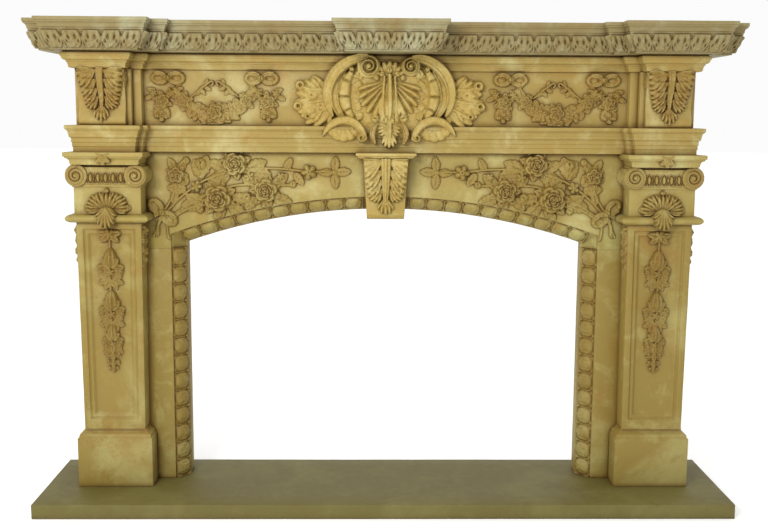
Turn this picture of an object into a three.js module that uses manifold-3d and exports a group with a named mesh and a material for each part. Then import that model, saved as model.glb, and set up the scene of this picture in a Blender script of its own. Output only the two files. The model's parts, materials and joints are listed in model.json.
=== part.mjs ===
// A carved limestone fireplace mantel: panelled piers, a low arched lintel with a keystone, and an
// entablature that breaks forward over the piers.
// Millimetres. X runs to the right, Y into the wall, Z up; the origin is under the middle of the hearth.
// "Projection" is always the distance that a face stands out from the wall.
import * as THREE from 'three';
import { mergeVertices } from 'three/addons/utils/BufferGeometryUtils.js';
import Module from 'manifold-3d';

const wasm = await Module();
wasm.setup();

// Joint between two stones.
const joint = 0.3;

// Hearth slab.
const hearthWidth = 2250;
const hearthDepth = 460;
const hearthHeight = 47;

// Piers: plinth, tapering shaft and capital, one above the other on one axis.
const pierSpacing = 1790;
const plinthWidth = 246;
const plinthProjection = 285;
const plinthHeight = 166;
const baseMouldHeight = 28;
const shaftLowWidth = 200;
const shaftTopWidth = 209;
const shaftLowProjection = 272;
const shaftTopProjection = 280;
const shaftHeight = 690;
const shaftFrameWidth = 20;
const shaftFrameSlope = 20;
const shaftPanelDepth = 12;
const neckWidth = 214;
const neckProjection = 288;
const neckHeight = 89;
const torusHeight = 29;
const torusOverhang = 25;
const voluteHeight = 69;
const voluteRadius = 35;
const voluteSpread = 188;
const voluteProjection = 316;
const abacusHeight = 40;
const abacusWidth = 252;
const abacusProjection = 338;
const echinusOverhang = 10;

// Fire opening: upright jamb slabs and a low arch, with an egg border on a splay.
const openingWidth = 1332;
const openingSpring = 807;
const archRise = 114;
const jambJointDrop = 16;
const slabProjection = 198;
const slabBackProjection = 90;
const borderWidth = 50;
const borderDepth = 57;
const borderEggPitch = 60;

// Keystone.
const keystoneTopWidth = 146;
const keystoneLowWidth = 122;
const keystoneProjection = 262;
const keystoneDrop = 28;
const keystoneAbacusWidth = 195;
const keystoneAbacusHeight = 20;

// Entablature courses: heights, and for each course its three planes.
const architraveHeight = 85;
const architraveOverhang = 21;
const friezeHeight = 177;
const bedMouldHeight = 52;
const bedMouldOverhang = 28;
const corniceHeight = 96;
const corniceOverhang = 80;
const corniceLipOverhang = 38;

// The entablature's plan: main wall face, a backing break, and a front break over each pier.
const mainProjection = 236;
const backingStep = 38;
const frontBreakStep = 64;
const frontBreakWidth = 146;
const pierBlockWidth = 175;
const pierBlockProjection = 300;
const backingWidth = 228;
const architraveBreakWidth = 196;
const architraveBreakStep = 38;
const shelfBreakWidth = 182;
const shelfEndOverhang = 136;

// Carving.
const garlandSpread = 1100;
const garlandBowSpread = 296;
const cartoucheWidth = 620;
const cartoucheHeight = 310;
const cartoucheProjection = 312;
const cartoucheDrop = 10;
const centreBreakWidth = 359;
const centreBreakStep = 112;
const axisShift = 10;
const leafPitch = 62;
const leafLean = 25;
const consoleCurlRadius = 25;
const garlandRoseRadius = 29;
const garlandBudRadius = 23;
const garlandBowWidth = 110;
const sprayBowWidth = 86;

// Levels and places that follow from the sizes above.
const wallY = hearthDepth / 2;
const pierX = pierSpacing / 2;
const openingHalf = openingWidth / 2;
const plinthTop = hearthHeight + plinthHeight;
const shaftFoot = plinthTop + baseMouldHeight;
const shaftTop = shaftFoot + shaftHeight;
const neckFoot = shaftTop + torusHeight;
const neckTop = neckFoot + neckHeight;
const abacusFoot = neckTop + voluteHeight;
const architraveFoot = abacusFoot + abacusHeight;
const friezeFoot = architraveFoot + architraveHeight;
const bedFoot = friezeFoot + friezeHeight;
const corniceFoot = bedFoot + bedMouldHeight;
const springZ = hearthHeight + openingSpring;
const jambTop = springZ - jambJointDrop;
const archRadius = (openingHalf ** 2 + archRise ** 2) / (2 * archRise);
const archCentreZ = springZ + archRise - archRadius;
const slabEdgeX = pierX - shaftLowWidth / 2 - joint;
const friezeCentreZ = friezeFoot + friezeHeight / 2;

const stone = {
  honey: { color: 0xc9b072, roughness: 0.85, metalness: 0 },
  pale: { color: 0xcbbf8e, roughness: 0.86, metalness: 0 },
  ochre: { color: 0xbd9a4c, roughness: 0.84, metalness: 0 },
  grey: { color: 0xa9a184, roughness: 0.88, metalness: 0 },
};

// Solids and joining.

// Triangles of a flat loop, all turning the way the loop runs.
function capTriangles(loop) {
  const normal = new THREE.Vector3();
  loop.forEach((p, i) => {
    const q = loop[(i + 1) % loop.length];
    normal.x += (p[1] - q[1]) * (p[2] + q[2]);
    normal.y += (p[2] - q[2]) * (p[0] + q[0]);
    normal.z += (p[0] - q[0]) * (p[1] + q[1]);
  });
  const size = normal.toArray().map(Math.abs);
  const drop = size.indexOf(Math.max(...size));
  const flat = loop.map((p) => new THREE.Vector2(...p.filter((_, axis) => axis !== drop)));
  const runs = THREE.ShapeUtils.area(flat) > 0;
  return THREE.ShapeUtils.triangulateShape(flat, []).map((t) => {
    const turns = THREE.ShapeUtils.area(t.map((k) => flat[k])) > 0;
    return turns === runs ? t : [t[0], t[2], t[1]];
  });
}

// A closed body through loops of points; a loop of one point is a tip.
function loft(loops) {
  const positions = [];
  const indices = [];
  const starts = loops.map((loop) => {
    const start = positions.length / 3;
    loop.forEach((p) => positions.push(...p));
    return start;
  });
  for (let i = 0; i + 1 < loops.length; i += 1) {
    const low = loops[i].length;
    const high = loops[i + 1].length;
    const sides = Math.max(low, high);
    for (let k = 0; k < sides; k += 1) {
      const next = (k + 1) % sides;
      const a0 = starts[i] + (low === 1 ? 0 : k);
      const a1 = starts[i] + (low === 1 ? 0 : next);
      const b0 = starts[i + 1] + (high === 1 ? 0 : k);
      const b1 = starts[i + 1] + (high === 1 ? 0 : next);
      if (low > 1) indices.push(a0, a1, b1);
      if (high > 1) indices.push(a0, b1, b0);
    }
  }
  const last = loops.length - 1;
  if (loops[0].length > 1) {
    capTriangles(loops[0]).forEach((t) => indices.push(starts[0] + t[0], starts[0] + t[2], starts[0] + t[1]));
  }
  if (loops[last].length > 1) {
    capTriangles(loops[last]).forEach((t) => indices.push(...t.map((k) => starts[last] + k)));
  }
  const geometry = new THREE.BufferGeometry();
  geometry.setAttribute('position', new THREE.Float32BufferAttribute(positions, 3));
  geometry.setIndex(indices);
  return geometry;
}

function signedVolume(vertices, triangles) {
  const [a, b, c] = [new THREE.Vector3(), new THREE.Vector3(), new THREE.Vector3()];
  let total = 0;
  for (let i = 0; i < triangles.length; i += 3) {
    a.fromArray(vertices, 3 * triangles[i]);
    b.fromArray(vertices, 3 * triangles[i + 1]);
    c.fromArray(vertices, 3 * triangles[i + 2]);
    total += a.dot(b.cross(c));
  }
  return total;
}

// The body that a closed geometry bounds, whichever way its faces turn.
function body(geometry) {
  const bare = geometry.clone();
  bare.deleteAttribute('normal');
  bare.deleteAttribute('uv');
  const merged = mergeVertices(bare, 1e-4);
  const vertProperties = new Float32Array(merged.attributes.position.array);
  const triVerts = new Uint32Array(merged.index.array);
  if (signedVolume(vertProperties, triVerts) < 0) {
    for (let i = 0; i < triVerts.length; i += 3) {
      [triVerts[i + 1], triVerts[i + 2]] = [triVerts[i + 2], triVerts[i + 1]];
    }
  }
  return new wasm.Manifold(new wasm.Mesh({ numProp: 3, vertProperties, triVerts }));
}

function unite(geometries) {
  return geometries.map(body).reduce((whole, next) => whole.add(next));
}

function cutAway(whole, geometries) {
  return geometries.map(body).reduce((left, next) => left.subtract(next), whole);
}

function asGeometry(manifold) {
  const mesh = manifold.getMesh();
  const geometry = new THREE.BufferGeometry();
  const places = [];
  for (let i = 0; i < mesh.vertProperties.length; i += mesh.numProp) {
    places.push(mesh.vertProperties[i], mesh.vertProperties[i + 1], mesh.vertProperties[i + 2]);
  }
  geometry.setAttribute('position', new THREE.Float32BufferAttribute(places, 3));
  geometry.setIndex(Array.from(mesh.triVerts));
  return geometry;
}

const span = (count) => Array.from({ length: count }, (_, i) => i);
const mix = (a, b, t) => a + (b - a) * t;

// Courses: a plan of [x, projection] corners, walked from the wall on the left round to the wall
// on the right, and a profile of [out, level] steps that every corner follows on its mitre.
function planLoop(plan, out, level) {
  const last = plan.length - 1;
  return plan.map(([x, projection], i) => {
    let [dx, dp] = [0, 0];
    [[i - 1, i], [i, i + 1]].forEach(([from, to]) => {
      if (from < 0 || to > last) return;
      dx -= Math.sign(plan[to][1] - plan[from][1]);
      dp += Math.sign(plan[to][0] - plan[from][0]);
    });
    const fromWall = i === 0 || i === last ? 0 : Math.sign(dp) * out;
    return [x + Math.sign(dx) * out, wallY - projection - fromWall, level];
  });
}

function course(plan, profile) {
  return loft(profile.map(([out, level]) => planLoop(plan, out, level)));
}

const blockPlan = (x, width, projection) => [
  [x - width / 2, 0], [x - width / 2, projection], [x + width / 2, projection], [x + width / 2, 0],
];

// A profile given as shares of a course's height and overhang.
function profile(foot, height, overhang, shares) {
  return shares.map(([out, up]) => [out * overhang, foot + up * (height - joint)]);
}

// Relief: bodies drawn in (u, v) on a face, standing w out of it, then set on that face.
const sink = 4;

function onFace(geometry, { x, z, projection, turn = 0, scale = 1 }) {
  const place = new THREE.Matrix4().makeBasis(
    new THREE.Vector3(1, 0, 0),
    new THREE.Vector3(0, 0, 1),
    new THREE.Vector3(0, -1, 0),
  );
  place.setPosition(x, wallY - projection, z);
  return geometry.clone()
    .applyMatrix4(new THREE.Matrix4().makeScale(scale, scale, scale))
    .applyMatrix4(new THREE.Matrix4().makeRotationZ(turn))
    .applyMatrix4(place);
}

// A band that follows a path; each station is [u, v, half width, rise], and a zero width is a tip.
// A crested band comes to a ridge, and a flat one keeps a flat top.
function band(stations, crested = true) {
  return loft(stations.map(([u, v, half, rise], i) => {
    if (half === 0) return [[u, v, rise - sink]];
    const before = stations[Math.max(i - 1, 0)];
    const after = stations[Math.min(i + 1, stations.length - 1)];
    const run = new THREE.Vector2(after[0] - before[0], after[1] - before[1]).normalize();
    const at = (side, w) => [u - run.y * side * half, v + run.x * side * half, w];
    const crest = crested ? [at(0, rise)] : [at(-0.6, rise), at(0.6, rise)];
    return [at(-1, -sink), ...crest, at(1, -sink)];
  }));
}

// A leaf from its stalk at the origin along +v, with a raised midrib.
function leaf(length, width, rise) {
  const section = (share, half, up) => [
    [-half * width, share * length, -sink], [0, share * length, up * rise],
    [half * width, share * length, -sink],
  ];
  return loft([section(0, 0.2, 0.6), section(0.5, 0.5, 1), [[0, length, 0]]]);
}

// A flower: petals round a heart, which is raised, or in an open rose has a ring of its own.
function flower(radius, rise, petals, open = false) {
  const points = 2 * petals;
  const ring = (share, dip, low, high) => span(points).map((k) => {
    const angle = (2 * Math.PI * k) / points;
    const r = radius * share * (k % 2 ? dip : 1);
    return [r * Math.cos(angle), r * Math.sin(angle), k % 2 ? low : high];
  });
  const heart = open ? [ring(0.42, 0.8, rise * 0.7, rise)] : [];
  const middle = open ? rise * 0.7 : rise;
  const petalRings = [ring(1, 0.75, -sink, -sink), ring(0.86, 0.7, rise * 0.4, rise * 0.75)];
  return loft([...petalRings, ...heart, [[0, 0, middle]]]);
}

// A domed bead, bud or egg on an oval base.
function egg(halfLength, halfWidth, rise, sides = 5) {
  const ring = (share, w) => span(sides).map((k) => {
    const angle = (2 * Math.PI * k) / sides;
    return [halfWidth * share * Math.sin(angle), halfLength * share * Math.cos(angle), w];
  });
  return loft([ring(1, -sink), ring(0.8, rise * 0.7), [[0, 0, rise]]]);
}

// A ribbon bow: two loops, a knot and two tails.
function bow(width, height) {
  const rise = width * 0.14;
  const loop = (side) => leaf(width * 0.52, height * 0.72, rise).rotateZ(side * -1.4);
  const tail = (side) => band([
    [0, 0, height * 0.06, rise * 0.65], [side * width * 0.2, -height * 0.9, height * 0.13, rise * 0.5],
  ]);
  const [across, up] = [width * 0.09, height * 0.2];
  const knotFoot = [[across, 0, -sink], [0, up, -sink], [-across, 0, -sink], [0, -up, -sink]];
  const knot = loft([knotFoot, [[0, 0, rise * 1.2]]]);
  return [loop(-1), loop(1), tail(-1), tail(1), knot];
}

// A scroll end: a disc with a sunk ring and a raised eye, turned on the axis that stands out.
function scrollEnd(radius, rise, depth, sides = 8) {
  const outline = [
    [0, -depth], [radius, -depth], [radius, rise], [radius * 0.58, rise * 0.2], [radius * 0.34, rise],
    [0, rise * 1.1],
  ];
  const disc = new THREE.LatheGeometry(outline.map(([r, h]) => new THREE.Vector2(r, h)), sides);
  return disc.rotateX(Math.PI / 2);
}

// A scallop shell: ribs that fan out from a hinge at the origin, between two angles.
function shell(radius, rise, ribs, fromAngle, toAngle, stretch = 1) {
  const edge = (share, w, dip) => span(2 * ribs + 1).map((k) => {
    const angle = mix(fromAngle, toAngle, k / (2 * ribs));
    const crest = k % 2 === 1;
    const r = radius * share * (crest ? 1 : dip);
    return [r * Math.cos(angle), r * stretch * Math.sin(angle), crest ? w : w * 0.45];
  });
  const foot = edge(1, 0, 0.9).map(([u, v]) => [u, v, -sink]);
  const hinge = [0, -radius * 0.08];
  return loft([
    [...foot, [...hinge, -sink]],
    [...edge(0.96, rise, 0.9), [...hinge, rise * 0.5]],
    [[0, radius * 0.12, rise * 0.8]],
  ]);
}

// Piers.

function plinth(x) {
  const base = course(blockPlan(x, plinthWidth, plinthProjection), [
    [0, hearthHeight + joint], [0, plinthTop - 1],
  ]);
  const step = (plinthWidth - shaftLowWidth) / 2;
  const foot = blockPlan(x, shaftLowWidth, plinthProjection - step);
  const mould = course(foot, [
    [step, plinthTop - 2], [step * 0.72, plinthTop + baseMouldHeight * 0.1],
    [step * 0.72, plinthTop + baseMouldHeight * 0.32], [step * 0.5, plinthTop + baseMouldHeight * 0.62],
    [step * 0.18, plinthTop + baseMouldHeight * 0.75], [step * 0.18, shaftFoot - joint],
  ]);
  return unite([base, mould]);
}

// The front of a shaft leans out a little as it widens towards the top.
function shaftSection(x, z, width, projection, back) {
  return [
    [x - width / 2, wallY - back, z], [x - width / 2, wallY - projection, z],
    [x + width / 2, wallY - projection, z], [x + width / 2, wallY - back, z],
  ];
}

// Flowers and husks that hang one below the other, from the top of a field down.
function hangingDrop(place, length, size) {
  const pieces = bow(size * 2.1, size * 1.1).map((part) => onFace(part, place(0)));
  const rows = 3;
  const pitch = length / rows;
  span(rows).forEach((row) => {
    const top = size * 0.7 + row * pitch;
    pieces.push(onFace(leaf(pitch * 0.62, size * 0.95, size * 0.5), { ...place(top), turn: Math.PI }));
    pieces.push(onFace(egg(size * 0.6, size * 0.56, size * 0.5), place(top + pitch * 0.68)));
  });
  return pieces;
}

function shaft(x) {
  const footZ = shaftFoot;
  const topZ = shaftTop - joint;
  const core = course(blockPlan(x, shaftLowWidth, slabProjection + 2 * joint), [[0, footZ], [0, topZ]]);
  const front = loft([
    shaftSection(x, footZ, shaftLowWidth, shaftLowProjection, slabProjection + joint),
    shaftSection(x, topZ, shaftTopWidth, shaftTopProjection, slabProjection + joint),
  ]);
  const lean = (shaftTopProjection - shaftLowProjection) / shaftHeight;
  const faceAt = (z) => shaftLowProjection + lean * (z - footZ);
  const panelFoot = footZ + shaftFrameWidth * 1.6;
  const panelTop = topZ - shaftFrameWidth;
  const pocketLoop = (inset, depth) => {
    const corner = (side, z) => {
      const width = mix(shaftLowWidth, shaftTopWidth, (z - footZ) / shaftHeight);
      return [x + side * (width / 2 - shaftFrameWidth - inset), wallY - faceAt(z) + depth, z];
    };
    const [low, high] = [panelFoot + inset, panelTop - inset];
    return [corner(-1, low), corner(1, low), corner(1, high), corner(-1, high)];
  };
  const pocket = loft([
    pocketLoop(-shaftFrameSlope * 0.5, -shaftPanelDepth * 0.9),
    pocketLoop(0, 0), pocketLoop(shaftFrameSlope * 0.3, shaftPanelDepth * 0.45),
    pocketLoop(shaftFrameSlope * 0.55, shaftPanelDepth * 0.35), pocketLoop(shaftFrameSlope, shaftPanelDepth),
  ]);
  const carved = cutAway(unite([core, front]), [pocket]);
  const dropTop = panelTop - shaftFrameSlope * 1.2;
  const dropLength = (panelTop - panelFoot) * 0.66;
  const place = (down) => ({ x, z: dropTop - down, projection: faceAt(dropTop - down) - shaftPanelDepth });
  const drop = hangingDrop(place, dropLength, shaftLowWidth * 0.22);
  return drop.map(body).reduce((whole, part) => whole.add(part), sideDrops(x, carved, faceAt));
}

// The small drops carved on both cheeks of a shaft, under its ring.
function sideDrops(x, whole, faceAt) {
  const bead = voluteRadius * 0.42;
  const beads = 2;
  let result = whole;
  [-1, 1].forEach((side) => {
    span(beads).forEach((k) => {
      const z = shaftTop - bead * (1.6 + 2.3 * k);
      const width = mix(shaftLowWidth, shaftTopWidth, (z - shaftFoot) / shaftHeight);
      const knob = egg(bead, bead * (1.1 - 0.12 * k), bead * 0.6)
        .rotateY((side * Math.PI) / 2)
        .rotateX(Math.PI / 2)
        .translate(x + (side * width) / 2, wallY - mix(slabProjection, faceAt(z), 0.55), z);
      result = result.add(body(knob));
    });
  });
  return result;
}

function capital(x) {
  const inner = -Math.sign(x);
  const neckPlan = blockPlan(x, neckWidth, neckProjection);
  const ring = course(neckPlan, [
    [0, shaftTop], [torusOverhang * 0.7, shaftTop + torusHeight * 0.12],
    [torusOverhang, shaftTop + torusHeight * 0.5], [torusOverhang * 0.7, shaftTop + torusHeight * 0.88],
    [0, neckFoot],
  ]);
  const neck = course(neckPlan, [[0, neckFoot - 1], [0, neckTop + 1]]);
  const echinus = course(neckPlan, [
    [0, neckTop], [echinusOverhang, neckTop + echinusOverhang], [echinusOverhang, abacusFoot],
  ]);
  const overhang = (abacusWidth - neckWidth) / 2;
  const abacusPlan = blockPlan(x, neckWidth, abacusProjection - overhang);
  const abacus = course(abacusPlan, [
    [overhang * 0.1, abacusFoot - 2], [overhang * 0.2, abacusFoot + abacusHeight * 0.3],
    [overhang * 0.62, abacusFoot + abacusHeight * 0.6], [overhang, abacusFoot + abacusHeight * 0.66],
    [overhang, architraveFoot - joint],
  ]);
  const backing = course(blockPlan(x + inner * overhang * 0.6, abacusWidth, slabProjection + backingStep), [
    [-overhang, abacusFoot - 1], [-overhang * 0.8, abacusFoot + abacusHeight * 0.3],
    [0, abacusFoot + abacusHeight * 0.66], [0, architraveFoot - joint],
  ]);
  const pieces = [ring, neck, echinus, abacus, backing];
  const eyeZ = neckTop + voluteHeight / 2;
  const eyeRise = voluteRadius * 0.26;
  [-1, 1].forEach((side) => {
    const volute = scrollEnd(voluteRadius, eyeRise, voluteProjection - slabProjection);
    const eye = { x: x + (side * voluteSpread) / 2, z: eyeZ, projection: voluteProjection - eyeRise };
    pieces.push(onFace(volute, eye));
  });
  const eggs = 3;
  const eggRun = (voluteSpread - 2 * voluteRadius) / eggs;
  span(eggs).forEach((k) => {
    const eggX = x + (k - (eggs - 1) / 2) * eggRun;
    const place = { x: eggX, z: eyeZ, projection: neckProjection + echinusOverhang };
    pieces.push(onFace(egg(voluteHeight * 0.26, eggRun * 0.4, 13), place));
  });
  const fleuron = flower(abacusHeight * 0.42, 12, 3);
  const fleuronPlace = { x, z: abacusFoot + abacusHeight * 0.45, projection: abacusProjection - 2 * sink };
  pieces.push(onFace(fleuron, fleuronPlace));
  const fan = shell(neckWidth * 0.31, 14, 5, -0.12, Math.PI + 0.12, 1.05);
  pieces.push(onFace(fan, { x, z: neckFoot + sink, projection: neckProjection }));
  pieces.push(onFace(leaf(torusHeight * 1.5, torusHeight * 0.9, torusHeight * 0.5), {
    x, z: neckFoot + 2 * sink, projection: neckProjection + torusOverhang - sink, turn: Math.PI,
  }));
  return cutAway(unite(pieces), [slabRoom(x)]);
}

// The room beside a pier that the jamb and lintel slabs fill, up to a joint short of the pier.
function slabRoom(x) {
  const inner = -Math.sign(x);
  const room = new THREE.BoxGeometry(pierX, slabProjection + joint, architraveFoot);
  const edge = x + inner * (shaftLowWidth / 2);
  return room.translate(edge + (inner * pierX) / 2, wallY - (slabProjection + joint) / 2, architraveFoot / 2);
}

// Jambs and lintel.

// Points round the opening, moved outwards by the offset, from the jamb's foot to the keystone.
const borderSteps = [
  [0, slabBackProjection], [0, slabProjection - borderDepth],
  [borderWidth * 0.86, slabProjection - borderDepth * 0.14], [borderWidth, slabProjection],
];

function archPoint(offset, x) {
  return archCentreZ + Math.sqrt((archRadius + offset) ** 2 - x ** 2);
}

function jamb(side) {
  const outer = slabEdgeX;
  const plinthEdge = pierX - plinthWidth / 2 - joint;
  const plinthNotch = plinthTop + baseMouldHeight;
  const [low, high] = [hearthHeight + joint, jambTop - joint];
  const loops = borderSteps.map(([offset, projection]) => {
    const edge = openingHalf + offset;
    const corners = [
      [edge, low], [edge, high], [outer, high], [outer, plinthNotch],
      [plinthEdge, plinthNotch], [plinthEdge, low],
    ];
    return corners.map(([x, z]) => [side * x, wallY - projection, z]);
  });
  const run = jambTop - hearthHeight;
  const count = Math.round(run / borderEggPitch);
  const pitch = run / count;
  const eggs = span(count).map((k) => borderEgg(
    side * (openingHalf + borderWidth * 0.4), hearthHeight + (k + 0.5) * pitch, 0, side, pitch,
  ));
  return unite([loft(loops), ...eggs]);
}

// One egg of the border, facing out of the splay; lean is the run's angle from upright.
function borderEgg(x, z, lean, side, pitch) {
  const seat = slabProjection - borderDepth * 0.6;
  return egg(pitch * 0.41, borderWidth * 0.5, borderWidth * 0.4)
    .rotateY(-side * 0.85)
    .rotateX(Math.PI / 2)
    .rotateY(lean)
    .translate(x, wallY - seat, z);
}

function lintel(side) {
  const arcPoints = 8;
  const innerX = keystoneLowWidth / 2 + joint;
  const loops = borderSteps.map(([offset, projection]) => {
    const edge = openingHalf + offset;
    const arc = span(arcPoints).map((k) => {
      const x = mix(edge, innerX, k / (arcPoints - 1));
      return [side * x, wallY - projection, archPoint(offset, x)];
    });
    const corner = (x, z) => [side * x, wallY - projection, z];
    return [
      corner(edge, jambTop), ...arc, corner(innerX, architraveFoot - joint),
      corner(slabEdgeX, architraveFoot - joint), corner(slabEdgeX, jambTop),
    ];
  });
  const seat = borderWidth * 0.4;
  const sweep = Math.asin(openingHalf / archRadius) - Math.asin((keystoneTopWidth / 2) / archRadius);
  const count = Math.round((sweep * archRadius) / borderEggPitch);
  const eggs = span(count).map((k) => {
    const angle = Math.asin(openingHalf / archRadius) - ((k + 0.5) * sweep) / count;
    const x = (archRadius + seat) * Math.sin(angle);
    const z = archCentreZ + (archRadius + seat) * Math.cos(angle);
    return borderEgg(side * x, z, side * (angle - Math.PI / 2), side, (sweep * archRadius) / count);
  });
  return unite([loft(loops), ...eggs, ...roseSpray(side)]);
}

// A spray of roses, buds and leaves tied with a bow, which climbs from the springing to the keystone.
function roseSpray(side) {
  const reach = openingHalf + borderWidth;
  const field = architraveFoot - springZ - archRise;
  const level = (share, up) => {
    const x = Math.min(reach * share, openingHalf);
    return mix(archPoint(borderWidth, x), architraveFoot, up);
  };
  const at = (share, up) => ({ x: side * reach * share, z: level(share, up), projection: slabProjection });
  const aim = (angle) => (side > 0 ? angle : -angle);
  const roses = [[0.696, 0.796, 0.2], [0.773, 0.296, 0.232], [0.549, 0.291, 0.189]];
  const buds = [[0.352, 0.58, 0.142], [0.955, 0.691, 0.147]];
  const leaves = [
    [0.87, 0.641, 0.421, 0.221, 0.5], [0.61, 0.48, 0.368, 0.2, 1.9],
    [0.84, 0.234, 0.368, 0.189, -1.2], [0.66, 0.128, 0.337, 0.179, 2.4],
    [0.33, 0.604, 0.411, 0.211, 1.1], [0.33, 0.486, 0.442, 0.221, 2.0],
    [0.46, 0.416, 0.305, 0.168, 2.9],
  ];
  const stems = [
    [[0.98, 0.225], [0.86, 0.482], [0.6, 0.508]],
    [[0.6, 0.541], [0.48, 0.658], [0.36, 0.591]],
  ];
  const pieces = roses.map(([share, up, size]) => (
    onFace(flower(size * field, 0.137 * field, 4, true), at(share, up))
  ));
  buds.forEach(([share, up, size]) => {
    pieces.push(onFace(egg(size * field, size * field * 0.9, size * field * 0.6), at(share, up)));
  });
  leaves.forEach(([share, up, length, width, angle]) => {
    const blade = leaf(length * field, width * field, 0.068 * field);
    pieces.push(onFace(blade, { ...at(share, up), turn: aim(angle) }));
  });
  stems.forEach((stem) => {
    const stations = stem.map(([share, up], k) => {
      const end = k === 0 || k === stem.length - 1;
      return [side * reach * share, level(share, up), (end ? 0.021 : 0.032) * field, 0.053 * field];
    });
    pieces.push(onFace(band(stations), { x: 0, z: 0, projection: slabProjection }));
  });
  const knot = { ...at(0.985, 0.207), turn: aim(0.7) };
  bow(sprayBowWidth, sprayBowWidth * 0.6).forEach((part) => pieces.push(onFace(part, knot)));
  return pieces;
}

function keystone() {
  const foot = springZ + archRise - keystoneDrop;
  const top = architraveFoot - joint;
  const bodyTop = top - keystoneAbacusHeight;
  const tongueFoot = foot + keystoneAbacusHeight * 0.6;
  const tonguePlan = blockPlan(0, keystoneLowWidth, slabProjection + 2 * joint);
  const tongue = course(tonguePlan, [[0, tongueFoot], [0, top]]);
  const back = course(blockPlan(0, openingWidth, slabBackProjection), [[0, foot - 100], [0, top + 100]]);
  const shares = [
    [0, 0.35], [0.04, 0.6], [0.13, 0.66], [0.22, 0.56], [0.42, 0.6], [0.72, 0.86], [0.88, 0.98], [1, 0.95],
  ];
  const front = loft(shares.map(([up, out]) => {
    const half = mix(keystoneLowWidth, keystoneTopWidth, up) / 2;
    const projection = mix(slabProjection, keystoneProjection, out);
    const z = mix(foot, bodyTop + 1, up);
    return [
      [-half, wallY - slabProjection - joint, z], [-half, wallY - projection, z],
      [half, wallY - projection, z], [half, wallY - slabProjection - joint, z],
    ];
  }));
  const abacusFlare = (keystoneAbacusWidth - keystoneTopWidth) / 2;
  const abacusPlan = blockPlan(0, keystoneTopWidth, keystoneProjection);
  const abacus = course(abacusPlan, [
    [abacusFlare * 0.1, bodyTop], [abacusFlare * 0.75, bodyTop + keystoneAbacusHeight * 0.45],
    [abacusFlare, bodyTop + keystoneAbacusHeight * 0.55], [abacusFlare, top],
  ]);
  const behind = course(blockPlan(0, keystoneAbacusWidth * 2, slabProjection + joint), [
    [0, bodyTop - 1], [0, top + 1],
  ]);
  const cap = cutAway(body(abacus), [behind]);
  const height = bodyTop - foot;
  const leaves = [
    [-0.3, 0.92, 0.5, 3.3], [0.3, 0.92, 0.5, -3.3], [-0.16, 0.55, 0.42, 2.7], [0.16, 0.55, 0.42, -2.7],
  ];
  const carving = leaves.map(([across, up, long, turn]) => {
    const blade = leaf(height * long, keystoneTopWidth * 0.36, 16);
    const projection = mix(slabProjection, keystoneProjection, mix(0.58, 0.9, up));
    return onFace(blade, { x: across * keystoneTopWidth, z: foot + height * up, projection, turn });
  });
  const rib = band([
    [0, height * 0.96, 13, 14], [0, height * 0.7, 11, 8], [0, height * 0.45, 9, 0], [0, height * 0.2, 8, -2],
  ]);
  carving.push(onFace(rib, { x: 0, z: foot, projection: keystoneProjection - 6 }));
  return cutAway(unite([tongue, front, ...carving]).add(cap), [back]);
}

// Entablature.

// Both halves of a plan: the corners of the left half, then the same ones back again on the right.
function wholePlan(leftHalf) {
  return [...leftHalf, ...leftHalf.map(([x, p]) => [-x, p]).reverse()];
}

function entablaturePlan(main, breakWidth, breakStep, endX) {
  const backing = main + backingStep;
  const half = breakWidth / 2;
  return wholePlan([
    [-endX, 0], [-endX, main + breakStep + backingStep], [-pierX + half, main + breakStep + backingStep],
    [-pierX + half, backing], [-pierX + backingWidth / 2, backing], [-pierX + backingWidth / 2, main],
  ]);
}

const architraveEndX = pierX + architraveBreakWidth / 2;
const architravePlan = entablaturePlan(
  mainProjection, architraveBreakWidth, architraveBreakStep, architraveEndX,
);
const architraveProfile = profile(architraveFoot, architraveHeight, architraveOverhang, [
  [0, 0], [0, 0.27], [0.16, 0.27], [0.16, 0.52], [0.32, 0.55], [0.32, 0.72],
  [0.5, 0.75], [0.8, 0.86], [0.84, 0.9],
  [1, 0.9], [1, 1],
]);

function friezePlan() {
  const innerX = pierX - pierBlockWidth / 2 - joint;
  return wholePlan([
    [-innerX, 0], [-innerX, mainProjection + backingStep],
    [-pierX + backingWidth / 2, mainProjection + backingStep],
    [-pierX + backingWidth / 2, mainProjection],
  ]);
}

const bedPlan = entablaturePlan(mainProjection, frontBreakWidth, frontBreakStep, pierX + pierBlockWidth / 2);
const bedProfile = profile(bedFoot, bedMouldHeight, bedMouldOverhang, [
  [0.2, 0], [0.3, 0.12], [0.3, 0.22], [0.5, 0.34], [0.5, 0.42], [0.62, 0.6], [0.92, 0.68], [1, 0.7], [1, 1],
]);

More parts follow.
